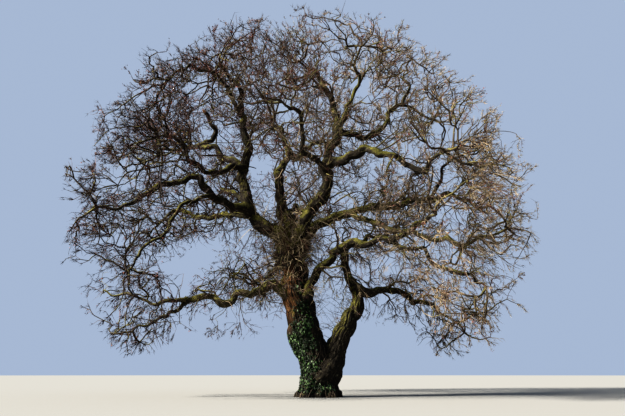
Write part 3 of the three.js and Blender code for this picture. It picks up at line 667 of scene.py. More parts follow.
# Bare twigs, one joined piece for each mass of the crown.
# Living wood: the twigs grow on from the limbs. A place is drawn in the crown, and a twig reaches it
# from the nearest place reached before, where a turn back counts as a longer way.
CROWN_MIDDLE = np.array([-0.7, 1.0, 7.7])
CROWN_LEFT, CROWN_RIGHT, CROWN_DEPTH, CROWN_UP, CROWN_DOWN = 10.3, 10.3, 8.3, 9.5, 9.0
CROWN_FULLNESS = 1.95
CROWN_LOWEST = 1.6
MASS = {"count": 21, "tries": 6000, "outer": 4, "reach": 3.4, "outset": 1.7, "stem": 0.3,
        "margin": 0.06, "clear": 0.095, "crook": 0.13, "straight": 1.2}
FIRST_SEED, SEED_APART = 41, 7
TURN, SHARPEST = 0.6, -0.3
NO_TWIGS = ("second_stem", "broken_snag")


def seeded(seed):
    """A repeatable random number from 0 to 1, in 32-bit whole-number steps."""
    whole = 0xFFFFFFFF
    state = seed & whole

    def draw():
        nonlocal state
        state = (state + 0x6D2B79F5) & whole
        m = ((state ^ (state >> 15)) * (1 | state)) & whole
        m = ((m + (((m ^ (m >> 7)) * (61 | m)) & whole)) & whole) ^ m
        return (m ^ (m >> 14)) / 4294967296

    return draw


def crown_share(p):
    """How far out in the crown places are: 0 at its middle, 1 on its skin."""
    d = np.atleast_2d(p) - CROWN_MIDDLE
    wide = np.abs(d[:, 0]) / np.where(d[:, 0] < 0, CROWN_LEFT, CROWN_RIGHT)
    high = np.abs(d[:, 2]) / np.where(d[:, 2] < 0, CROWN_DOWN, CROWN_UP)
    front = (wide**CROWN_FULLNESS + high**CROWN_FULLNESS) ** (2 / CROWN_FULLNESS)
    return np.sqrt(front + (d[:, 1] / CROWN_DEPTH) ** 2)


masses = []
for name in [row[0] for row in LIMBS if row[0] not in NO_TWIGS]:
    tip, heading = limbs[name]["points"][-1], limbs[name]["heading"]
    outward = unit(unit(tip - CROWN_MIDDLE) + heading)
    masses.append({"node": name.replace("_bough", "") + "_twigs", "limb": name, "tip": tip,
                   "heading": heading, "middle": tip + outward * MASS["outset"]})
middles = np.array([m["middle"] for m in masses])
line_from = np.vstack([limb["points"][:-1] for limb in limbs.values()])
line_to = np.vstack([limb["points"][1:] for limb in limbs.values()])
line_thick = np.concatenate([np.maximum(limb["radii"][:-1], limb["radii"][1:])
                             for limb in limbs.values()])


def in_space(i, p):
    """Whether a place lies in mass i's own share of the crown."""
    if p[2] < CROWN_LOWEST or crown_share(p)[0] > 1:
        return False
    if np.linalg.norm(p - middles[i]) > MASS["reach"]:
        return False
    apart = middles - middles[i]
    span = np.linalg.norm(apart, axis=1)
    span[i] = 1
    beyond = ((p - (middles + middles[i]) / 2) * apart).sum(1) / span
    beyond[i] = -1
    return bool((beyond < -MASS["margin"]).all())


def clear_of_limbs(a, b):
    """Whether a twig from a to b keeps its distance from every limb."""
    ab, cd, ca = b - a, line_to - line_from, a - line_from
    aa, cc = ab @ ab, (cd * cd).sum(1)
    ac, e, f = cd @ ab, ca @ ab, (ca * cd).sum(1)
    spread = aa * cc - ac * ac
    s = np.where(spread > 1e-15, np.clip((ac * f - cc * e) / np.maximum(spread, 1e-15), 0, 1), 0)
    t = np.clip((ac * s + f) / cc, 0, 1)
    s = np.clip((ac * t - e) / aa, 0, 1)
    gap = np.linalg.norm(ca + s[:, None] * ab - t[:, None] * cd, axis=1)
    return bool((gap > line_thick + MASS["clear"]).all())


def main_twigs(i):
    """The places, bearers and headings of the mass's main twigs, by the rule above."""
    mass = masses[i]
    draw = seeded(FIRST_SEED + SEED_APART * i)

    def scattered():
        return (np.array([draw(), draw(), draw()]) - 0.5) * 2

    stem = mass["tip"] + mass["heading"] * MASS["stem"]
    at, source, heading = [mass["tip"], stem], [-1, 0], [mass["heading"], mass["heading"]]
    goals = []
    for _ in range(MASS["tries"]):
        if len(goals) == MASS["count"]:
            break
        spot = scattered() * MASS["reach"] + mass["middle"]
        if in_space(i, spot) and draw() < crown_share(spot)[0] ** MASS["outer"]:
            goals.append(spot)
    goals.sort(key=lambda g: np.linalg.norm(g - stem))
    for goal in goals:
        best, least = -1, math.inf
        for k in range(1, len(at)):
            way = goal - at[k]
            length = np.linalg.norm(way)
            turn = way @ heading[k] / length
            cost = length * (1 + TURN - turn)
            if cost < least and turn > SHARPEST:
                best, least = k, cost
        if best < 0:
            continue
        length = np.linalg.norm(goal - at[best])
        middle = (at[best] + goal) / 2 + scattered() * MASS["crook"] * length
        last = best
        for leg in [middle, goal] if length > MASS["straight"] else [goal]:
            if not in_space(i, leg) or not clear_of_limbs(at[last], leg):
                break
            at.append(leg)
            source.append(last)
            heading.append(unit(leg - at[last]))
            last = len(at) - 1
    return at, source, heading


# the crown seen from the front: how far it reaches from this middle, every 20 degrees from its right
# round by the top, and its shoulder at the upper right, where its skin bulges: x, z, spread and rise
FRONT_MIDDLE = (-0.6, 8.6)
FRONT_REACH = [9.7, 9.6, 9.8, 9.3, 8.8, 9.4, 9.8, 9.5, 9.7, 10.6, 9.9, 9.5, 7.4, 5.2, 5.0, 7.2, 9.4, 10.6]
SHOULDER = (5.8, 15.4, 1.3, 0.1)
# the gaps where the sky shows through: x, z, half width and half height
SKY_GAPS = [(-5.1, 5.4, 1.4, 1.0), (-8.6, 9.3, 1.3, 1.0), (-8.8, 6.5, 0.8, 0.5),
            (-5.7, 13.6, 1.0, 0.7), (-4.8, 11.2, 0.9, 0.6), (-1.5, 12.4, 0.5, 0.7),
            (2.1, 13.6, 0.7, 0.6), (6.1, 11.4, 1.2, 0.7), (5.9, 7.5, 1.0, 0.5),
            (-2.5, 9.9, 0.5, 0.6), (3.1, 5.3, 1.0, 0.5), (-3.7, 3.1, 2.3, 0.5),
            (-9.6, 4.5, 1.5, 1.5), (-6.0, 8.4, 0.7, 0.4)]
# the twigs left in a gap's middle, how wide that middle is, and how wide the gap's soft edge is
GAP_LEFT, GAP_CORE, GAP_EDGE = 0.12, 0.3, 0.9
# where the twigs stand closer or further apart: x, z, half width, half height, and by how much
THICK_SPOTS = [(-7.6, 11.8, 2.2, 1.3, 1.2), (1.0, 12.8, 1.0, 1.0, 1.2), (-2.6, 14.6, 1.6, 1.0, 1.2),
               (8.3, 9.0, 1.0, 1.8, 1.2), (3.2, 8.7, 2.6, 0.9, 1.2), (-7.0, 5.2, 1.5, 1.1, -0.65),
               (7.9, 3.8, 1.5, 1.1, -0.65)]
CLUMP, CLUMP_LEVEL, CLUMP_SWING, CLUMP_LEAST = 1.7, 0.62, 1.3, 0.1
TRIM = 0.45
RAGGED, RAGGED_STEP = 1.5, 0.8
SKIN, SKIN_RAGGED = 1.05, 0.12
OUTWARDS = 0.7
INNER_FILL, FILL_POWER = 0.2, 2.1
FRONT_THIN, FRONT_DEPTH, FRONT_RIM, FRONT_SOFT = 0.45, 4, 0.85, 0.3
LIMB_REACH, REACH_EASE = 1.7, 0.3
FAR_OFF = (0.0, 0.0, -99.0)


def finder_of(points):
    """A search tree over the points, each under its number in their row."""
    finder = kdtree.KDTree(len(points))
    for k, p in enumerate(points):
        finder.insert(p, k)
    finder.balance()
    return finder


def noise_at(points, step):
    """A smooth noise from about -1 to 1 at each point, with lumps of about the step's size."""
    return np.array([noise.noise(Vector(p) / step) for p in points])


limb_points = finder_of(np.vstack([limbs[mass["limb"]]["line"] for mass in masses]))
# places reached so far: where, from which place, heading, mass, level of the twig, bearer's radius,
# and number of its colour
places, sources, headings, owners, levels, girths, tints = [], [], [], [], [], [], []


def reach(at, source, heading, owner, level, girth, tint):
    places.append(np.asarray(at, float))
    sources.append(source)
    headings.append(heading)
    owners.append(owner)
    levels.append(level)
    girths.append(girth)
    tints.append(tint)
    return len(places) - 1


TREE_SEED = 2024
TINT_SHARES = [0.36, 0.34, 0.12, 0.18]
MAIN_STEP, MAIN_CROOK = 0.4, 0.07
MAIN_REACH = 0.5
# twigs along a limb: from this far along it, this far apart, and up to this many rings from its tip
FIRST_TWIG, TWIG_SPACING, TIP_RINGS = 0.9, 0.3, 4
rng = np.random.default_rng(TREE_SEED)


def drawn_tint():
    return int(rng.choice(len(TINT_SHARES), p=TINT_SHARES))


for i, mass in enumerate(masses):
    at, source, heading = main_twigs(i)
    number = []
    for k in range(len(at)):
        tint = drawn_tint()
        last = -1 if k == 0 else number[source[k]]
        leg = at[k] - at[source[k]]
        cuts = 1 if k == 0 else max(1, round(np.linalg.norm(leg) / MAIN_STEP))
        for t in np.arange(1, cuts) / cuts:
            spot = at[source[k]] + leg * t + rng.uniform(-MAIN_CROOK, MAIN_CROOK, 3)
            last = reach(spot, last, heading[k], i, 1, 1.0, tint)
        number.append(reach(at[k], last, heading[k], i, 1, 1.0, tint))
    limb = limbs[mass["limb"]]
    tangents = unit(np.gradient(limb["line"], axis=0))
    for k in range(round(FIRST_TWIG / RING_STEP), len(limb["line"]) - TIP_RINGS,
                   round(TWIG_SPACING / RING_STEP)):
        reach(limb["line"][k], -1, tangents[k], i, 0, limb["skin_radii"][k], drawn_tint())
main_points = finder_of([p if level == 1 else FAR_OFF for p, level in zip(places, levels)])

# how many places, the longest way to one, how many bends and how deep, how far it hangs in the low
# crown, and how far out it may be
LEVELS = [(600, 2.3, 3, 0.3, 0.0, 0.8), (2200, 1.4, 2, 0.26, 0.05, 0.91),
          (8500, 0.9, 1, 0.17, 0.15, 1.0), (21000, 0.6, 1, 0.14, 0.3, 1.0)]


def kept_share(p, out):
    """How likely a drawn place is kept: more towards the skin, in clumps, few in the sky's gaps."""
    pace = EYE.y / (EYE.y - p[:, 1])
    x = EYE.x + (p[:, 0] - EYE.x) * pace
    z = EYE.z + (p[:, 2] - EYE.z) * pace
    angle = np.degrees(np.arctan2(z - FRONT_MIDDLE[1], x - FRONT_MIDDLE[0])) % 360
    limit = np.interp(angle, np.arange(0, 361, 20), FRONT_REACH + FRONT_REACH[:1]) - TRIM
    ragged = noise_at(p, RAGGED_STEP)
    inside = np.hypot(x - FRONT_MIDDLE[0], z - FRONT_MIDDLE[1]) < limit * out + RAGGED * ragged
    inside |= np.array([main_points.find(q)[2] for q in p]) < MAIN_REACH
    open_sky = np.ones(len(p))
    for gx, gz, wide, high in SKY_GAPS:
        off = ((x - gx) / wide) ** 2 + ((z - gz) / high) ** 2
        open_sky *= np.clip(GAP_LEFT + (1 - GAP_LEFT) * (off - GAP_CORE) / GAP_EDGE, GAP_LEFT, 1)
    for gx, gz, wide, high, by in THICK_SPOTS:
        open_sky *= 1 + by * np.exp(-((x - gx) / wide) ** 2 - ((z - gz) / high) ** 2)
    share = crown_share(p)
    to_mass = np.linalg.norm(p[:, None] - middles, axis=2).min(1)
    to_limb = np.array([limb_points.find(q)[2] for q in p])
    near = (to_mass < MASS["reach"] - REACH_EASE) | (to_limb < LIMB_REACH)
    in_box = ((p > BOX_LOW + TRIM) & (p < BOX_HIGH - TRIM)).all(1)
    shoulder_x, shoulder_z, spread, rise = SHOULDER
    skin_at = SKIN * out + SKIN_RAGGED * ragged + rise * np.exp(
        -((x - shoulder_x) ** 2 + (z - shoulder_z) ** 2) / spread**2)
    whole = (share < skin_at) & (p[:, 2] > CROWN_LOWEST) & inside & in_box & near
    across = np.hypot(x - FRONT_MIDDLE[0], z - FRONT_MIDDLE[1]) / limit
    veil = 1 - FRONT_THIN * np.clip(-p[:, 1] / FRONT_DEPTH, 0, 1) * np.clip(
        (FRONT_RIM - across) / FRONT_SOFT, 0, 1)
    fill = INNER_FILL + (1 - INNER_FILL) * share**FILL_POWER
    clumps = np.clip(CLUMP_LEVEL + CLUMP_SWING * noise_at(p, CLUMP), CLUMP_LEAST, 1)
    return whole * fill * veil * open_sky * clumps


def drawn_places(count, out):
    """That many places in the crown, up to a share of the way out to its skin."""
    low = CROWN_MIDDLE - (CROWN_LEFT, CROWN_DEPTH, CROWN_DOWN)
    high = CROWN_MIDDLE + (CROWN_RIGHT, CROWN_DEPTH, CROWN_UP)
    found = np.zeros((0, 3))
    while len(found) < count:
        p = rng.uniform(low, high, (count * 2, 3))
        found = np.vstack([found, p[rng.random(len(p)) < kept_share(p, out)]])
    return found[:count]


CHOICES, SHORTEST = 10, 0.06
SAME_TINT = 0.75
LIFT = 0.06
LOW_CROWN, LOW_FADE = 9.0, 6.0
for level, (count, longest, bends, bend, droop, out) in enumerate(LEVELS, 2):
    known = finder_of(places)
    for goal in drawn_places(count, out):
        best, least = -1, math.inf
        outward = unit(goal - CROWN_MIDDLE)
        for _, k, length in known.find_n(goal, CHOICES):
            if length > longest or length < SHORTEST:
                continue
            way = goal - places[k]
            turn = float(way @ headings[k]) / length
            cost = length * (1 + TURN - turn) * (1 + OUTWARDS - OUTWARDS * float(way @ outward) / length)
            if cost < least and turn > SHARPEST:
                best, least = k, cost
        if best < 0:
            continue
        start, length = places[best], np.linalg.norm(goal - places[best])
        low = np.clip((LOW_CROWN - goal[2]) / LOW_FADE, 0.0, 1.0)
        goal = goal - (0, 0, droop * length * low)
        goal[2] = max(goal[2], CROWN_LOWEST)
        tint = tints[best] if rng.random() < SAME_TINT else drawn_tint()
        last = best
        for t in [*np.arange(1, bends + 1) / (bends + 1), 1]:
            leg = start + (goal - start) * t
            if t < 1:
                leg = leg + rng.uniform(-1, 1, 3) * bend * length / bends**0.5 + (0, 0, LIFT * length)
            last = reach(leg, last, unit(leg - places[last]), owners[best], level, 1.0, tint)

places, sources, owners, levels, girths, tints = (
    np.array(row) for row in (places, sources, owners, levels, girths, tints))

# a twig thickens with the burden of all that it bears, and less the further out it is
FINE_LEVEL, FINE_BURDEN = 4, 3.0
TWIG_BASE = 0.0021
THICKENING = 0.5
THICKEST, FADE = 0.064, 2.2
burden = np.where(levels >= FINE_LEVEL, FINE_BURDEN, 0.0)
for k in range(len(places) - 1, -1, -1):
    if sources[k] >= 0:
        burden[sources[k]] += burden[k] + 1
thick = TWIG_BASE * (burden + 1) ** THICKENING
run_out = np.zeros(len(places))
for k in range(len(places)):
    if sources[k] >= 0:
        run_out[k] = run_out[sources[k]] + np.linalg.norm(places[k] - places[sources[k]])
thick = np.minimum(thick, THICKEST * np.exp(-run_out / FADE) + TWIG_BASE)
heir = np.full(len(places), -1)
for k in range(len(places)):
    source = sources[k]
    if source >= 0 and levels[source] > 0 and (heir[source] < 0 or burden[k] > burden[heir[source]]):
        heir[source] = k

TWIG_COLOURS = [("twig_grey", (0.075, 0.056, 0.047)), ("twig_brown", (0.058, 0.034, 0.025)),
                ("twig_olive", (0.09, 0.08, 0.028)), ("twig_russet", (0.1, 0.045, 0.035)),
                ("twig_sunlit_tan", (0.22, 0.172, 0.112)), ("twig_shaded_dark", (0.03, 0.016, 0.013)),
                ("twig_sunlit_pale", (0.4, 0.33, 0.22))]
# colours with a place: the tan and pale ones are painted sunlight, more and more towards the right, and the
# dark one is painted shade towards the left
SUNLIT_TAN, SHADED_DARK, SUNLIT_PALE = 4, 5, 6
SUNNED, SUNNED_FROM, SUNNED_OVER = 0.7, -3.0, 11.0
SHADED, SHADED_FROM, SHADED_OVER = 0.6, -2.5, 4.0
PALEST = 0.22
# kinds of twig: least radius at the root, sides, stretches between two places, share of painted-sunlight
# tan ones
KINDS = [(0.016, 5, 2, 0.0), (0.008, 3, 1, 0.5), (0.0, 3, 1, 1.0)]
ROOT_FLARE, ROOT_SHARE = 1.3, 0.6


def sunned_share(x):
    return np.clip((x - SUNNED_FROM) / SUNNED_OVER, 0, 1) * SUNNED


def shaded_share(x):
    return np.clip((SHADED_FROM - x) / SHADED_OVER, 0, 1) * SHADED


runs = [[] for _ in KINDS]
for k in range(len(places)):
    source = sources[k]
    rooted = source < 0
    if (rooted and levels[k] == 0) or (not rooted and heir[source] == k):
        continue
    chain = [k] if rooted else [source, k]
    while heir[chain[-1]] >= 0:
        chain.append(heir[chain[-1]])
    if len(chain) < 2:
        continue
    limit = limbs[masses[owners[k]]["limb"]]["radii"][-1]
    radii = np.minimum(thick[chain], limit)
    if rooted:
        radii[0] = limit
    else:
        radii[0] = min(radii[1] * ROOT_FLARE, ROOT_SHARE * girths[source], thick[source])
        radii[1:] = np.minimum(radii[1:], radii[0])
    kind = next(n for n, row in enumerate(KINDS) if radii[0] >= row[0])
    # tan twigs paint sunlight towards the right, dark ones paint shade towards the left
    sunned = sunned_share(places[k][0]) * KINDS[kind][3]
    luck = rng.random()
    tint = SUNLIT_TAN if luck < sunned else SHADED_DARK if luck > 1 - shaded_share(places[k][0]) else tints[k]
    runs[kind].append((places[chain], radii, owners[k], tint))


def flattened(rows, cuts):
    """All runs end to end in the limbs' wander, each stretch cut into cuts that round its bends."""
    p = np.vstack([row[0] for row in rows])
    r = np.concatenate([row[1] for row in rows])
    counts = np.array([len(row[0]) for row in rows])
    run = np.repeat(np.arange(len(rows)), counts)
    first = np.concatenate([[0], np.cumsum(counts)[:-1]])
    last = first + counts - 1
    index = np.arange(len(p))
    lean = (p[np.minimum(index + 1, last[run])] - p[np.maximum(index - 1, first[run])]) / 2
    body = np.nonzero(index != last[run])[0]
    out_p, out_r, out_run, order = [p], [r], [run], [index.astype(float)]
    for t in np.arange(1, cuts) / cuts:
        a, b = p[body], p[body + 1]
        out_p.append(a * (2 * t**3 - 3 * t**2 + 1) + b * (3 * t**2 - 2 * t**3)
                     + lean[body] * (t**3 - 2 * t**2 + t) + lean[body + 1] * (t**3 - t**2))
        out_r.append(r[body] * (1 - t) + r[body + 1] * t)
        out_run.append(run[body])
        order.append(body + t)
    order = np.argsort(np.concatenate(order), kind="stable")
    p, r, run = np.vstack(out_p)[order], np.concatenate(out_r)[order], np.concatenate(out_run)[order]
    return {
        "p": np.clip(crooked(p), BOX_LOW + r[:, None], BOX_HIGH - r[:, None]),
        "r": r,
        "run": run,
        "last": np.append(run[1:] != run[:-1], True),
        "owner": np.array([row[2] for row in rows])[run],
        "tint": np.array([row[3] for row in rows])[run],
    }


def tubes(twigs, sides):
    """Pointed tubes with closed bases: vertices, triangles, and the point that each one starts at."""
    p, r, run, ends = twigs["p"], twigs["r"], twigs["run"], twigs["last"]
    last = np.nonzero(ends)[0]
    first = np.concatenate([[0], last[:-1] + 1])
    index = np.arange(len(p))
    tangent = unit(p[np.minimum(index + 1, last[run])] - p[np.maximum(index - 1, first[run])] + 1e-9)
    u = unit(np.cross(tangent, np.eye(3)[np.abs(tangent[first]).argmin(1)][run]))
    v = np.cross(tangent, u)
    turn = np.arange(sides) * 2 * math.pi / sides
    ring = p[:, None] + r[:, None, None] * (
        np.cos(turn)[None, :, None] * u[:, None] + np.sin(turn)[None, :, None] * v[:, None])
    ring[last] = p[last][:, None]
    body = index[~ends]
    a = body[:, None] * sides + np.arange(sides)
    b = body[:, None] * sides + (np.arange(sides) + 1) % sides
    whole = ~ends[body + 1]
    base = first[:, None] * sides + np.arange(sides)
    caps = np.stack([np.repeat(base[:, :1], sides - 2, 1), base[:, 2:], base[:, 1:-1]], 2)
    faces = np.concatenate([np.stack([a, b, a + sides], 2).reshape(-1, 3),
                            np.stack([b, b + sides, a + sides], 2)[whole].reshape(-1, 3),
                            caps.reshape(-1, 3)])
    starts = np.concatenate([np.repeat(body, sides), np.repeat(body[whole], sides),
                             np.repeat(first, sides - 2)])
    one = np.arange(len(p) * sides)
    one[(last[:, None] * sides + np.arange(1, sides)).ravel()] = np.repeat(last * sides, sides - 1)
    return ring.reshape(-1, 3), one[faces], starts


def compact(verts, faces):
    """The vertices that the faces use, and the faces with their new numbers."""
    used = np.unique(faces)
    renumber = np.zeros(len(verts), int)
    renumber[used] = np.arange(len(used))
    return verts[used], renumber[faces]


def triangle_piece(name, parts, materials):
    """A joined piece out of parts, each a row of vertices, triangles, material numbers and smooth."""
    verts, faces, paints, smooths, offset = [], [], [], [], 0
    for part_verts, part_faces, paint, smooth in parts:
        v, f = compact(part_verts, part_faces)
        verts.append(v)
        faces.append(f + offset)
        paints.append(paint)
        smooths.append(np.full(len(f), smooth))
        offset += len(v)
    faces = np.concatenate(faces)
    mesh = bpy.data.meshes.new(name)
    mesh.vertices.add(offset)
    mesh.vertices.foreach_set("co", np.vstack(verts).astype(np.float32).ravel())
    mesh.loops.add(len(faces) * 3)
    mesh.loops.foreach_set("vertex_index", faces.astype(np.int32).ravel())
    mesh.polygons.add(len(faces))
    mesh.polygons.foreach_set("loop_start", np.arange(0, len(faces) * 3, 3, dtype=np.int32))
    mesh.polygons.foreach_set("material_index", np.concatenate(paints).astype(np.int32))
    mesh.polygons.foreach_set("use_smooth", np.concatenate(smooths))
    for material in materials:
        mesh.materials.append(material)
    mesh.update(calc_edges=True)
    piece = bpy.data.objects.new(name, mesh)
    scene.collection.objects.link(piece)
    return piece


# last shoots: short straight ones along the finer twigs, and some on the thicker ones
SPRAYS, SPRAY_SHOOTS = 40000, 5
SHOOTS = SPRAYS * SPRAY_SHOOTS
SHOOT_LENGTH = (0.06, 0.23)
SHOOT_BASE = 0.0056
SPRAY_CLUMP, SPRAY_CROWDING = 0.8, 2.4
FINE = 0.008
RARE = 0.25
SPRAY_SPREAD = 0.15
ALONG_TWIG, OUT_OF_CROWN, SHOOT_DROOP = 0.7, 0.6, 0.45
DROOP_BELOW, DROOP_FADE = 8.0, 6.0
SUNNED_EVERYWHERE = 0.03
MARGIN = 0.02
twigs = [flattened(rows, cuts) for rows, (_, _, cuts, _) in zip(runs, KINDS)]
stretch = [{key: t[key][:-1][~t["last"][:-1]] for key in ("p", "r", "owner", "tint")}
           | {"to": t["p"][1:][~t["last"][:-1]]} for t in twigs]
stretch = {key: np.concatenate([s[key] for s in stretch]) for key in stretch[0]}
way = stretch["to"] - stretch["p"]
chance = np.linalg.norm(way, axis=1) * np.where(stretch["r"] < FINE, 1, RARE) * np.exp(
    SPRAY_CROWDING * noise_at(stretch["p"], SPRAY_CLUMP))
bearer = np.repeat(rng.choice(len(way), SPRAYS, p=chance / chance.sum()), SPRAY_SHOOTS)
along = np.repeat(rng.random(SPRAYS), SPRAY_SHOOTS) + rng.uniform(-SPRAY_SPREAD, SPRAY_SPREAD, SHOOTS)
shoot_from = stretch["p"][bearer] + way[bearer] * np.clip(along, 0, 1)[:, None]
outward = unit(shoot_from - CROWN_MIDDLE)
aim = unit(way[bearer]) * ALONG_TWIG + outward * OUT_OF_CROWN + rng.uniform(-1, 1, (SHOOTS, 3))
aim[:, 2] -= SHOOT_DROOP * np.clip((DROOP_BELOW - shoot_from[:, 2]) / DROOP_FADE, 0, 1)
shoot_to = shoot_from + unit(aim) * rng.uniform(*SHOOT_LENGTH, SHOOTS)[:, None]
shoot_to = np.clip(shoot_to, BOX_LOW + MARGIN, BOX_HIGH - MARGIN)
shoot_from = np.clip(shoot_from, BOX_LOW + MARGIN, BOX_HIGH - MARGIN)
shoot_owner, shoot_tint = stretch["owner"][bearer], stretch["tint"][bearer]
# tan and pale shoots paint sunlight, more towards the right and a little everywhere, and dark ones paint
# shade towards the left
sunned = sunned_share(shoot_from[:, 0]) + SUNNED_EVERYWHERE
luck = rng.random(SHOOTS)
shoot_tint[luck < sunned] = SUNLIT_TAN
shoot_tint[luck < PALEST * sunned] = SUNLIT_PALE
shoot_tint[luck > 1 - shaded_share(shoot_from[:, 0])] = SHADED_DARK
SPIKE = np.array([[0, 1, 3], [1, 2, 3], [2, 0, 3], [0, 2, 1]])


def spikes(a, b, base):
    """Three-sided points from a to b with closed bases."""
    tangent = unit(b - a)
    u = unit(np.cross(tangent, np.eye(3)[np.abs(tangent).argmin(1)]))
    w = np.cross(tangent, u)
    turn = np.arange(3) * 2 * math.pi / 3
    ring = a[:, None] + base * (np.cos(turn)[None, :, None] * u[:, None]
                                + np.sin(turn)[None, :, None] * w[:, None])
    verts = np.concatenate([ring, b[:, None]], 1).reshape(-1, 3)
    return verts, (np.arange(len(a))[:, None, None] * 4 + SPIKE[None]).reshape(-1, 3)


BRANCH_MOSS, BRANCH_MOSS_SHARE = -0.09, 0.85
BRANCH_DARK, BRANCH_LIGHT = (0.018, 0.014, 0.01), (0.085, 0.065, 0.042)
# painted shade: the branches darken from the first to the second of these places across the tree, by up to
# a share
LEFT_SHADE_FROM, LEFT_SHADE_WHOLE, LEFT_SHADE_SHARE = -1.0, -6.0, 0.6
LEFT_PAINTED_SHADE = (0.01, 0.0075, 0.006)


def twig_material(name, colour):
    material, shader = new_material(name, colour, 0.75)
    tree = material.node_tree
    rough = wired(tree, "ShaderNodeTexNoise",
                  {"Vector": object_place(tree), "Scale": 60.0, "Detail": 2.0})
    roughened(tree, shader, rough.outputs["Fac"], 0.3, 0.004)
    return material


def branch_material():
    """Thin bark in two tones with some moss, and painted shade that darkens it towards the tree's left."""
    material, shader = new_material("branch_bark", (0.05, 0.04, 0.025), 0.9)
    tree = material.node_tree
    place = object_place(tree)
    tone, crumbs = (wired(tree, "ShaderNodeTexNoise", {"Vector": place, "Scale": scale, "Detail": 4.0}
                          ).outputs["Fac"] for scale in (5.0, 45.0))
    green = wired(tree, "ShaderNodeGroup", {}, node_tree=MOSS_COVER)
    green.inputs["Amount"].default_value = BRANCH_MOSS
    across = wired(tree, "ShaderNodeSeparateXYZ", {"Vector": place}).outputs["X"]
    left = wired(tree, "ShaderNodeMapRange",
                 {"Value": across, "From Min": LEFT_SHADE_FROM, "From Max": LEFT_SHADE_WHOLE,
                  "To Min": 0.0, "To Max": LEFT_SHADE_SHARE})
    colour = mixed(tree, tone, BRANCH_DARK, BRANCH_LIGHT)
    colour = mixed(tree, left.outputs["Result"], colour, LEFT_PAINTED_SHADE)
    mossy = math_node(tree, "MULTIPLY", green.outputs["Mask"], BRANCH_MOSS_SHARE)
    colour = mixed(tree, mossy, colour, mixed(tree, tone, MOSS_DEEP, MOSS_BRIGHT))
    tree.links.new(colour, shader.inputs["Base Color"])
    roughened(tree, shader, crumbs, 0.5, 0.008)
    return material


TWIG_PAINTS = [twig_material(*c) for c in TWIG_COLOURS] + [branch_material()]
BRANCH = len(TWIG_COLOURS)
made = [tubes(t, sides) for t, (_, sides, _, _) in zip(twigs, KINDS)]
for i, mass in enumerate(masses):
    parts = []
    for n, (verts, faces, starts) in enumerate(made):
        mine = twigs[n]["owner"][starts] == i
        paint = np.where(n == 0, BRANCH, twigs[n]["tint"][starts[mine]])
        parts.append((verts, faces[mine], paint, n == 0))
    mine = shoot_owner == i
    verts, faces = spikes(shoot_from[mine], shoot_to[mine], SHOOT_BASE)
    parts.append((verts, faces, np.repeat(shoot_tint[mine], 4), False))
    piece = triangle_piece("bare_" + mass["node"], parts, TWIG_PAINTS)
    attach(piece, "root")
    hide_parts(mass["node"])


# Brown leaves that an oak keeps through the winter.
# Dry curled leaves and bud clusters near the ends of some shoots, as one joined piece of small
# flakes of four faces. They cling in clumps, more at the upper left and in the middle of the top.
CLINGING = 26000
CURL = (0.014, 0.032)
CURL_STRETCH = 1.3
LEAF_CLUMP, LEAF_CROWDING = 1.0, 6.0
LEAFY_MIDDLE, LEAFY_SPREAD = (0.45, 12.9), 2.0
LEAFY_ELSEWHERE, LEAFY_LEFT, LEAFY_TOP = 0.8, 2.2, 2.0
LEAFY_LEFT_OF, LEAFY_LEFT_FADE = -2, 4
LEAFY_ABOVE, LEAFY_ABOVE_FADE = 8, 3
LEAF_PLACE = (0.6, 0.95)
LEAF_ROOM = 0.05
LEAF_COLOURS = [("leaf_russet", (0.15, 0.055, 0.04)), ("leaf_brown", (0.085, 0.046, 0.033)),
                ("leaf_tan", (0.15, 0.095, 0.062))]
LEAF_SHARES = [0.35, 0.45, 0.2]
middle_top = ((shoot_from[:, (0, 2)] - LEAFY_MIDDLE) ** 2).sum(1)
top_left = np.clip((LEAFY_LEFT_OF - shoot_from[:, 0]) / LEAFY_LEFT_FADE, 0, 1)
top_left *= np.clip((shoot_from[:, 2] - LEAFY_ABOVE) / LEAFY_ABOVE_FADE, 0, 1)
leafy = LEAFY_ELSEWHERE + LEAFY_LEFT * top_left + LEAFY_TOP * np.exp(-middle_top / LEAFY_SPREAD)
chance = np.exp(LEAF_CROWDING * noise_at(shoot_from, LEAF_CLUMP)) * leafy
cling_to = rng.choice(SHOOTS, CLINGING, replace=False, p=chance / chance.sum())
middle = shoot_from[cling_to] + (shoot_to - shoot_from)[cling_to] * rng.uniform(
    *LEAF_PLACE, (CLINGING, 1))
corner = unit(rng.normal(size=(CLINGING, 4, 3))) * rng.uniform(*CURL, (CLINGING, 1, 1))
corner -= corner.mean(1, keepdims=True)
flip = (np.cross(corner[:, 1] - corner[:, 0], corner[:, 2] - corner[:, 0])
        * (corner[:, 3] - corner[:, 0])).sum(1) < 0
corner[flip] = corner[flip][:, [1, 0, 2, 3]]
verts = np.clip(middle[:, None] + corner * CURL_STRETCH, BOX_LOW + LEAF_ROOM, BOX_HIGH - LEAF_ROOM)
faces = (np.arange(CLINGING)[:, None, None] * 4 + SPIKE[None]).reshape(-1, 3)
leaf_paints = [twig_material(*c) for c in LEAF_COLOURS]
paint = np.repeat(rng.choice(len(LEAF_SHARES), CLINGING, p=LEAF_SHARES), 4)
leaves = triangle_piece("clinging_leaves", [(verts.reshape(-1, 3), faces, paint, False)], leaf_paints)
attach(leaves, "root")


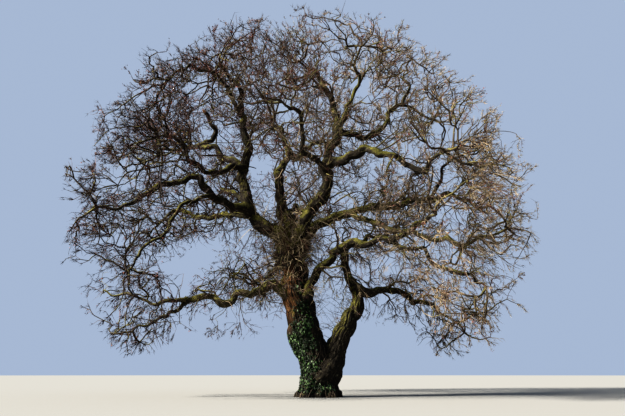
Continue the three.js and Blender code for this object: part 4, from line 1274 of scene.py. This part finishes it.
# Shoots on the trunk and round its fork.
# Thin living wood that springs in dense tufts from the old bark, mostly where the leaders part, and
# hangs over the trunk. Each is a bent three-sided twig rooted in the bark, with side shoots.
TUFT_BEARERS = ("trunk", "left_leader", "centre_leader", "main_leader", "right_bough",
                "front_right_bough", "second_stem", "low_left_bough", "back_low_bough")
FORK, FORK_SPREAD = (-1.1, 0, 6.1), 1.45
STEM_GAP, GAP_SPREAD, GAP_SHARE = np.array([0.5, 0, 4.0]), 1.3, 0.6
FACING = 0.3
ELSEWHERE, ELSEWHERE_FROM = 0.01, 3.6
TUFTS = 1600
TUFT_LENGTH = (0.25, 1.3)
TUFT_BASE, TUFT_TAPER = 0.014, np.array([1, 0.85, 0.7, 0.5, 0.2])
TUFT_LEGS = len(TUFT_TAPER) - 1
TUFT_SPLAY, TUFT_CROOK, TUFT_RISE = 0.6, 0.25, 0.35
HANGING, HANG, LITTLE_HANG, HANG_PACE = 0.35, 0.9, 0.15, 0.45
ROOTED = 0.02
FINER, FINER_SPREAD = 0.6, 1.6
# the tufts take the twig colours at random, among them the painted-sunlight tan and pale and the
# painted-shade dark
TUFT_SHARES = [0.07, 0.11, 0.15, 0.08, 0.27, 0.12, 0.2]
SIDE_SHOOTS, SIDE_LENGTH, SIDE_SPLAY = 6500, (0.06, 0.25), 0.9


def vertex_values(mesh, key):
    """The places (co) or the normals of a mesh's vertices."""
    values = np.empty(len(mesh.vertices) * 3)
    mesh.vertices.foreach_get(key, values)
    return values.reshape(-1, 3)


def strands(lines):
    """Lines of points, each with its radii, end to end in the form that tubes() takes."""
    counts = [len(radii) for _, radii in lines]
    last = np.zeros(sum(counts), bool)
    last[np.cumsum(counts) - 1] = True
    return {
        "p": np.vstack([points for points, _ in lines]),
        "r": np.concatenate([radii for _, radii in lines]),
        "run": np.repeat(np.arange(len(lines)), counts),
        "last": last,
    }


bark_points = np.vstack([vertex_values(skin[name].data, "co") for name in TUFT_BEARERS])
bark_out = np.vstack([vertex_values(skin[name].data, "normal") for name in TUFT_BEARERS])
from_fork = np.linalg.norm(bark_points - FORK, axis=1)
in_gap = np.linalg.norm(bark_points - STEM_GAP, axis=1)
faces_gap = (bark_out * (STEM_GAP - bark_points)).sum(1) > FACING * in_gap
chance = (np.exp(-(from_fork / FORK_SPREAD) ** 2)
          + GAP_SHARE * faces_gap * np.exp(-(in_gap / GAP_SPREAD) ** 2)
          + ELSEWHERE * (bark_points[:, 2] > ELSEWHERE_FROM))
root = rng.choice(len(bark_points), TUFTS, p=chance / chance.sum())
length = rng.uniform(*TUFT_LENGTH, TUFTS)[:, None]
aim = unit(bark_out[root] + rng.uniform(-TUFT_SPLAY, TUFT_SPLAY, (TUFTS, 3)) + (0, 0, TUFT_RISE))
hang = np.where(rng.random((TUFTS, 1)) < HANGING, HANG, LITTLE_HANG) * (0, 0, -1)
tuft = [bark_points[root] - bark_out[root] * ROOTED]
for _ in range(TUFT_LEGS):
    aim = unit(aim + hang * HANG_PACE + rng.uniform(-TUFT_CROOK, TUFT_CROOK, (TUFTS, 3)))
    tuft.append(tuft[-1] + aim * length / TUFT_LEGS)
tuft = np.stack(tuft, 1)
finer = 1 - FINER * np.exp(-(in_gap[root] / FINER_SPREAD) ** 2)
rows = strands(list(zip(tuft, TUFT_BASE * TUFT_TAPER * finer[:, None])))
verts, faces, starts = tubes(rows, 3)
tuft_tint = rng.choice(len(TUFT_SHARES), TUFTS, p=TUFT_SHARES)
one, leg = rng.integers(0, TUFTS, SIDE_SHOOTS), rng.integers(0, TUFT_LEGS, SIDE_SHOOTS)
t = rng.random((SIDE_SHOOTS, 1))
side_from = tuft[one, leg] * (1 - t) + tuft[one, leg + 1] * t
side_aim = tuft[one, leg + 1] - tuft[one, leg]
side_aim = unit(side_aim + rng.uniform(-SIDE_SPLAY, SIDE_SPLAY, (SIDE_SHOOTS, 3)))
side_to = side_from + side_aim * rng.uniform(*SIDE_LENGTH, (SIDE_SHOOTS, 1))
side_verts, side_faces = spikes(side_from, side_to, SHOOT_BASE)
tufts = triangle_piece("trunk_shoots", [
    (verts, faces, tuft_tint[rows["run"][starts]], False),
    (side_verts, side_faces, np.repeat(tuft_tint[one], 4), False)], TWIG_PAINTS)
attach(tufts, "root")


# Dead spurs and stubs on the boughs.
# Dead wood left where side branches died back. Short crooked blunt pegs that stand out of the bark,
# more of them below the bough than above it.
SPURS, SPUR_SIDES = 260, 6
SPUR_LENGTH = (0.12, 0.5)
SPUR_RADIUS, SPUR_LIMB_SHARE = (0.011, 0.028), 0.45
SPUR_TAPER = np.array([1, 0.85, 0.75, 0.62, 0])
SPUR_LEGS, SPUR_BLUNT = 3, 0.06
SPUR_SINK, SPUR_DROOP, SPUR_SQUARE, SPUR_CROOK = 0.7, 0.4, 0.8, 0.45
SPUR_FROM, SPUR_TIP_RINGS = 0.5, 5
spur_lines = []
for _ in range(SPURS):
    limb = limbs[masses[int(rng.integers(len(masses)))]["limb"]]
    k = int(rng.integers(round(SPUR_FROM / RING_STEP), len(limb["line"]) - SPUR_TIP_RINGS))
    at = crooked(limb["line"][k:k + 2])
    along = unit(at[1] - at[0])
    aim = unit(rng.normal(size=3) - (0, 0, SPUR_DROOP))
    aim = unit(aim - (aim @ along) * SPUR_SQUARE * along)
    length = rng.uniform(*SPUR_LENGTH)
    radius = min(rng.uniform(*SPUR_RADIUS), limb["skin_radii"][k] * SPUR_LIMB_SHARE)
    spot = at[0] + aim * (limb["skin_radii"][k] * SPUR_SINK)
    spots = []
    for step in range(len(SPUR_TAPER)):
        spots.append(spot)
        aim = unit(aim + rng.uniform(-SPUR_CROOK, SPUR_CROOK, 3))
        spot = spot + aim * length / SPUR_LEGS * (1 if step < SPUR_LEGS else SPUR_BLUNT)
    spur_lines.append((np.array(spots), radius * SPUR_TAPER))
verts, faces, starts = tubes(strands(spur_lines), SPUR_SIDES)
spurs = triangle_piece("dead_spurs", [(verts, faces, np.full(len(faces), BRANCH), True)], TWIG_PAINTS)
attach(spurs, "root")


# The torn end of the broken bough.
# Pale orange heartwood that the break laid bare: long splinters that stand up out of its end.
SPLINTERS, SPLINTER_BASE = 40, 0.03
SPLINTER_LENGTH, SPLINTER_ROOT, SPLINTER_SPLAY = (0.05, 0.2), 0.04, 1.15
SPLINTER_PLACE = (0.1, 0.75)
TORN_DARK, TORN_LIGHT = (0.4, 0.18, 0.07), (0.75, 0.43, 0.2)


def torn_material():
    material, shader = new_material("torn_wood", (0.5, 0.26, 0.12), 0.85)
    tree = material.node_tree
    streaks = wired(tree, "ShaderNodeTexNoise", {"Vector": object_place(tree), "Scale": 30.0})
    tree.links.new(mixed(tree, streaks.outputs["Fac"], TORN_DARK, TORN_LIGHT), shader.inputs["Base Color"])
    return material


snag = crooked(limbs["broken_snag"]["line"][-3:])
snag_way = unit(snag[2] - snag[0])
scatter = rng.normal(size=(SPLINTERS, 3))
scatter -= (scatter @ snag_way)[:, None] * snag_way
scatter = unit(scatter) * limbs["broken_snag"]["skin_radii"][-1] * rng.uniform(
    *SPLINTER_PLACE, (SPLINTERS, 1))
splinter_from = snag[2] + scatter - snag_way * SPLINTER_ROOT
splinter_to = snag[2] + scatter * SPLINTER_SPLAY + snag_way * rng.uniform(*SPLINTER_LENGTH, (SPLINTERS, 1))
verts, faces = spikes(splinter_from, splinter_to, SPLINTER_BASE)
splinters = triangle_piece("torn_end", [(verts, faces, np.zeros(len(faces), int), False)],
                           [torn_material()])
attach(splinters, "root")


# Ivy on the foot of the trunk.
# Woody stems that creep up the bark from the ground, and small lobed evergreen leaves on short
# stalks that hang tip down, close over the trunk's left and front and thinner further up.
IVY_PATCHES = [(-0.75, -0.35, 0.35, 0.8), (-0.55, -0.6, 1.1, 0.72), (-0.9, -0.5, 1.9, 0.6),
               (-0.45, -0.65, 2.1, 0.5), (-0.62, -0.65, 2.8, 0.55), (0.1, -0.75, 0.5, 0.6),
               (-0.75, 0.4, 0.7, 0.6), (-0.62, -0.6, 3.5, 0.48), (-0.6, -0.55, 4.3, 0.42)]
IVY_RAGGED, IVY_EDGE = 0.7, 0.22
IVY_LOWEST = 0.19
IVY_THIN_FROM, IVY_THIN_WHOLE, IVY_THINNEST = 2.4, 3.4, 0.55
IVY_DENSITY = 520.0
IVY_LENGTH = (0.055, 0.115)
IVY_STAND = 0.035
IVY_SEED = 5
# the least and the most on each axis: how a leaf's tip points, and how it is turned from that
IVY_HANG = ((-0.7, -0.7, -1.4), (0.7, 0.7, -0.6))
IVY_SWAY = ((-0.5, -0.5, -0.3), (0.5, 0.5, 0.3))
LEAF_EDGE = [(0, 0.1), (0.33, 0.02), (0.25, 0.3), (0.46, 0.52), (0.19, 0.62), (0, 1.0), (-0.19, 0.62),
             (-0.46, 0.52), (-0.25, 0.3), (-0.33, 0.02)]
# the greens: input of the node tree, material, colour, gloss, and the shade above which a leaf has it; the
# light green is a painted highlight, glints on glossy leaves
IVY_GREENS = [("Dark", "ivy_dark", (0.003, 0.007, 0.002), 0.18, -1.0),
              ("Green", "ivy_green", (0.007, 0.018, 0.004), 0.18, 0.55),
              ("Light", "ivy_glint", (0.05, 0.095, 0.026), 0.4, 0.9)]


def ivy_material(name, colour, gloss):
    material, shader = new_material(name, colour, 0.45, gloss)
    tree = material.node_tree
    veins = wired(tree, "ShaderNodeTexVoronoi", {"Vector": object_place(tree), "Scale": 70.0},
                  feature="DISTANCE_TO_EDGE")
    roughened(tree, shader, veins.outputs["Distance"], 0.25, 0.003)
    return material


# one leaf, its tip at 1 along Y: a blade with an upper and a lower middle, and a stalk
blade = [(x, y, 0) for x, y in LEAF_EDGE] + [(0, 0.36, 0.07), (0, 0.36, 0.03)]
stalk = [(0.03, -0.1, -0.3), (-0.03, -0.1, -0.3), (0, -0.05, -0.3), (0, 0.2, 0.04)]
edge = len(LEAF_EDGE)
leaf_faces = [(n, (n + 1) % edge, edge) for n in range(edge)]
leaf_faces += [((n + 1) % edge, n, edge + 1) for n in range(edge)]
leaf_faces += [tuple(c + len(blade) for c in corners)
               for corners in ((0, 2, 3), (2, 1, 3), (1, 0, 3), (0, 1, 2))]
leaf_mesh = bpy.data.meshes.new("ivy_leaf")
leaf_mesh.from_pydata(blade + stalk, [], leaf_faces)
leaf = bpy.data.objects.new("ivy_leaf", leaf_mesh)


def ivy_tree():
    """Sprays leaves over the patches of a surface, tips down, each in one of three greens; the light green
    paints glints of light on the glossy leaves.
    """
    tree = bpy.data.node_groups.new("ivy_spray", "GeometryNodeTree")
    face = tree.interface
    face.new_socket("Geometry", in_out="INPUT", socket_type="NodeSocketGeometry")
    for name, kind in (("Leaf", "Object"), ("Density", "Float"), ("Smallest", "Float"),
                       ("Largest", "Float"), ("Stand", "Float"), ("Seed", "Int"), ("Dark", "Material"),
                       ("Green", "Material"), ("Light", "Material")):
        face.new_socket(name, in_out="INPUT", socket_type="NodeSocket" + kind)
    face.new_socket("Geometry", in_out="OUTPUT", socket_type="NodeSocketGeometry")
    given = tree.nodes.new("NodeGroupInput").outputs
    place = tree.nodes.new("GeometryNodeInputPosition").outputs[0]
    height = wired(tree, "ShaderNodeSeparateXYZ", {"Vector": place}).outputs["Z"]
    ragged = wired(tree, "ShaderNodeTexNoise", {"Vector": place, "Scale": 3.0, "Detail": 3.0})
    uneven = math_node(tree, "SUBTRACT", ragged.outputs["Fac"], 0.5)
    uneven = math_node(tree, "MULTIPLY", uneven, IVY_RAGGED)
    cover = 0.0
    for x, y, z, spread in IVY_PATCHES:
        far = vector_node(tree, "DISTANCE", place, (x, y, z))
        near = math_node(tree, "ADD", math_node(tree, "SUBTRACT", spread, far), uneven)
        near = wired(tree, "ShaderNodeMapRange", {"Value": near, "From Min": 0.0, "From Max": IVY_EDGE})
        cover = math_node(tree, "MAXIMUM", cover, near.outputs["Result"])
    thinner = wired(tree, "ShaderNodeMapRange",
                    {"Value": height, "From Min": IVY_THIN_FROM, "From Max": IVY_THIN_WHOLE,
                     "To Min": 1.0, "To Max": IVY_THINNEST})
    density = math_node(tree, "MULTIPLY", math_node(tree, "MULTIPLY", given["Density"], cover),
                        math_node(tree, "MULTIPLY", thinner.outputs["Result"],
                                  math_node(tree, "GREATER_THAN", height, IVY_LOWEST)))
    spots = wired(tree, "GeometryNodeDistributePointsOnFaces",
                  {"Mesh": given["Geometry"], "Density": density, "Seed": given["Seed"]})
    share = wired(tree, "FunctionNodeRandomValue", {"Seed": given["Seed"]}, data_type="FLOAT")
    out = math_node(tree, "MULTIPLY", share.outputs["Value"], given["Stand"])
    stood = wired(tree, "GeometryNodeSetPosition", {
        "Geometry": spots.outputs["Points"],
        "Offset": vector_node(tree, "MULTIPLY", spots.outputs["Normal"], evenly(tree, out))})
    facing = wired(tree, "FunctionNodeAlignRotationToVector",
                   {"Vector": spots.outputs["Normal"]}, axis="Z")
    tip_way, sway = (
        wired(tree, "FunctionNodeRandomValue", {"Min": least, "Max": most}, data_type="FLOAT_VECTOR")
        for least, most in (IVY_HANG, IVY_SWAY))
    hanging = wired(tree, "FunctionNodeAlignRotationToVector", {
        "Rotation": facing.outputs["Rotation"], "Vector": tip_way.outputs["Value"]},
        axis="Y", pivot_axis="Z")
    swayed = wired(tree, "FunctionNodeEulerToRotation", {"Euler": sway.outputs["Value"]})
    turned = wired(tree, "FunctionNodeRotateRotation", {
        "Rotation": hanging.outputs["Rotation"], "Rotate By": swayed.outputs["Rotation"]},
        rotation_space="LOCAL")
    sized = wired(tree, "FunctionNodeRandomValue", {"Min": given["Smallest"], "Max": given["Largest"]},
                  data_type="FLOAT")
    leaf_in = wired(tree, "GeometryNodeObjectInfo", {"Object": given["Leaf"]})
    sprayed = wired(tree, "GeometryNodeInstanceOnPoints", {
        "Points": stood.outputs["Geometry"], "Instance": leaf_in.outputs["Geometry"],
        "Rotation": turned.outputs["Rotation"],
        "Scale": evenly(tree, sized.outputs["Value"])})
    shade = wired(tree, "FunctionNodeRandomValue", data_type="FLOAT")
    shaded = wired(tree, "GeometryNodeStoreNamedAttribute", {
        "Geometry": sprayed.outputs["Instances"], "Name": "shade",
        "Value": shade.outputs["Value"]}, data_type="FLOAT", domain="INSTANCE")
    real = wired(tree, "GeometryNodeRealizeInstances", {"Geometry": shaded.outputs["Geometry"]})
    last = real.outputs["Geometry"]
    shade_at = attribute(tree, "shade", "FLOAT")
    for name, _, _, _, above in IVY_GREENS:
        last = wired(tree, "GeometryNodeSetMaterial", {
            "Geometry": last, "Selection": math_node(tree, "GREATER_THAN", shade_at, above),
            "Material": given[name]}).outputs["Geometry"]
    wired(tree, "NodeGroupOutput", {"Geometry": last})
    return tree


greens = {name: ivy_material(paint, colour, gloss) for name, paint, colour, gloss, _ in IVY_GREENS}
ivy_leaves = made_by_nodes("ivy_leaves", skin["trunk"].data.copy(), ivy_tree(), {
    "Leaf": leaf, "Density": IVY_DENSITY, "Smallest": IVY_LENGTH[0], "Largest": IVY_LENGTH[1],
    "Stand": IVY_STAND, "Seed": IVY_SEED, **greens})
bpy.data.objects.remove(leaf)
bpy.data.meshes.remove(leaf_mesh)
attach(ivy_leaves, "root")
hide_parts("ivy")

# creeping stems: how many, how thick and how much thinner at the tip, where round the trunk's foot
# they start, how many steps they have, and how far each step rises and creeps sideways
IVY_STEMS, STEM_SIDES = 34, 5
STEM_RADIUS, STEM_THINNING, STEM_SINK = (0.006, 0.016), 0.7, 0.5
STEM_SPAN = (math.radians(130), math.radians(330))
STEM_FOOT, STEM_START = 1.1, 0.03
STEM_STEPS = (18, 52)
STEM_RISE, STEM_OFF = 0.07, 0.05
SLANT, SLANT_CHANGE, STEEPEST_SLANT = 0.025, 0.02, 0.05
ivy_wood = new_material("ivy_stem", (0.11, 0.085, 0.06), 0.9)[0]
trunk_mesh = skin["trunk"].data
surface = BVHTree.FromPolygons([v.co for v in trunk_mesh.vertices],
                               [p.vertices for p in trunk_mesh.polygons])
stem_lines = []
for _ in range(IVY_STEMS):
    angle = rng.uniform(*STEM_SPAN)
    spot = np.array([STEM_FOOT * math.cos(angle), STEM_FOOT * math.sin(angle), STEM_START])
    count = int(rng.integers(*STEM_STEPS))
    radius = rng.uniform(*STEM_RADIUS)
    slant = rng.uniform(-SLANT, SLANT)
    spots = []
    for step in range(count):
        at, out = (np.array(v) for v in surface.find_nearest(Vector(spot))[:2])
        spots.append(at + out * (radius * (1 - STEM_THINNING * step / count)) * STEM_SINK)
        axis_x = np.interp(at[2], limbs["trunk"]["points"][:, 2], limbs["trunk"]["points"][:, 0])
        sideways = unit(np.array([at[1], axis_x - at[0], 0]))
        slant = np.clip(slant + rng.uniform(-SLANT_CHANGE, SLANT_CHANGE), -STEEPEST_SLANT, STEEPEST_SLANT)
        spot = at + out * STEM_OFF + sideways * slant + (0, 0, STEM_RISE)
    stem_lines.append((np.array(spots), radius * (1 - STEM_THINNING * np.arange(count) / count)))
rows = strands(stem_lines)
rows["p"][:, 2] = np.maximum(rows["p"][:, 2], rows["r"])
verts, faces, starts = tubes(rows, STEM_SIDES)
ivy_stems = triangle_piece("ivy_stems", [(verts, faces, np.zeros(len(faces), int), True)], [ivy_wood])
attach(ivy_stems, "root")
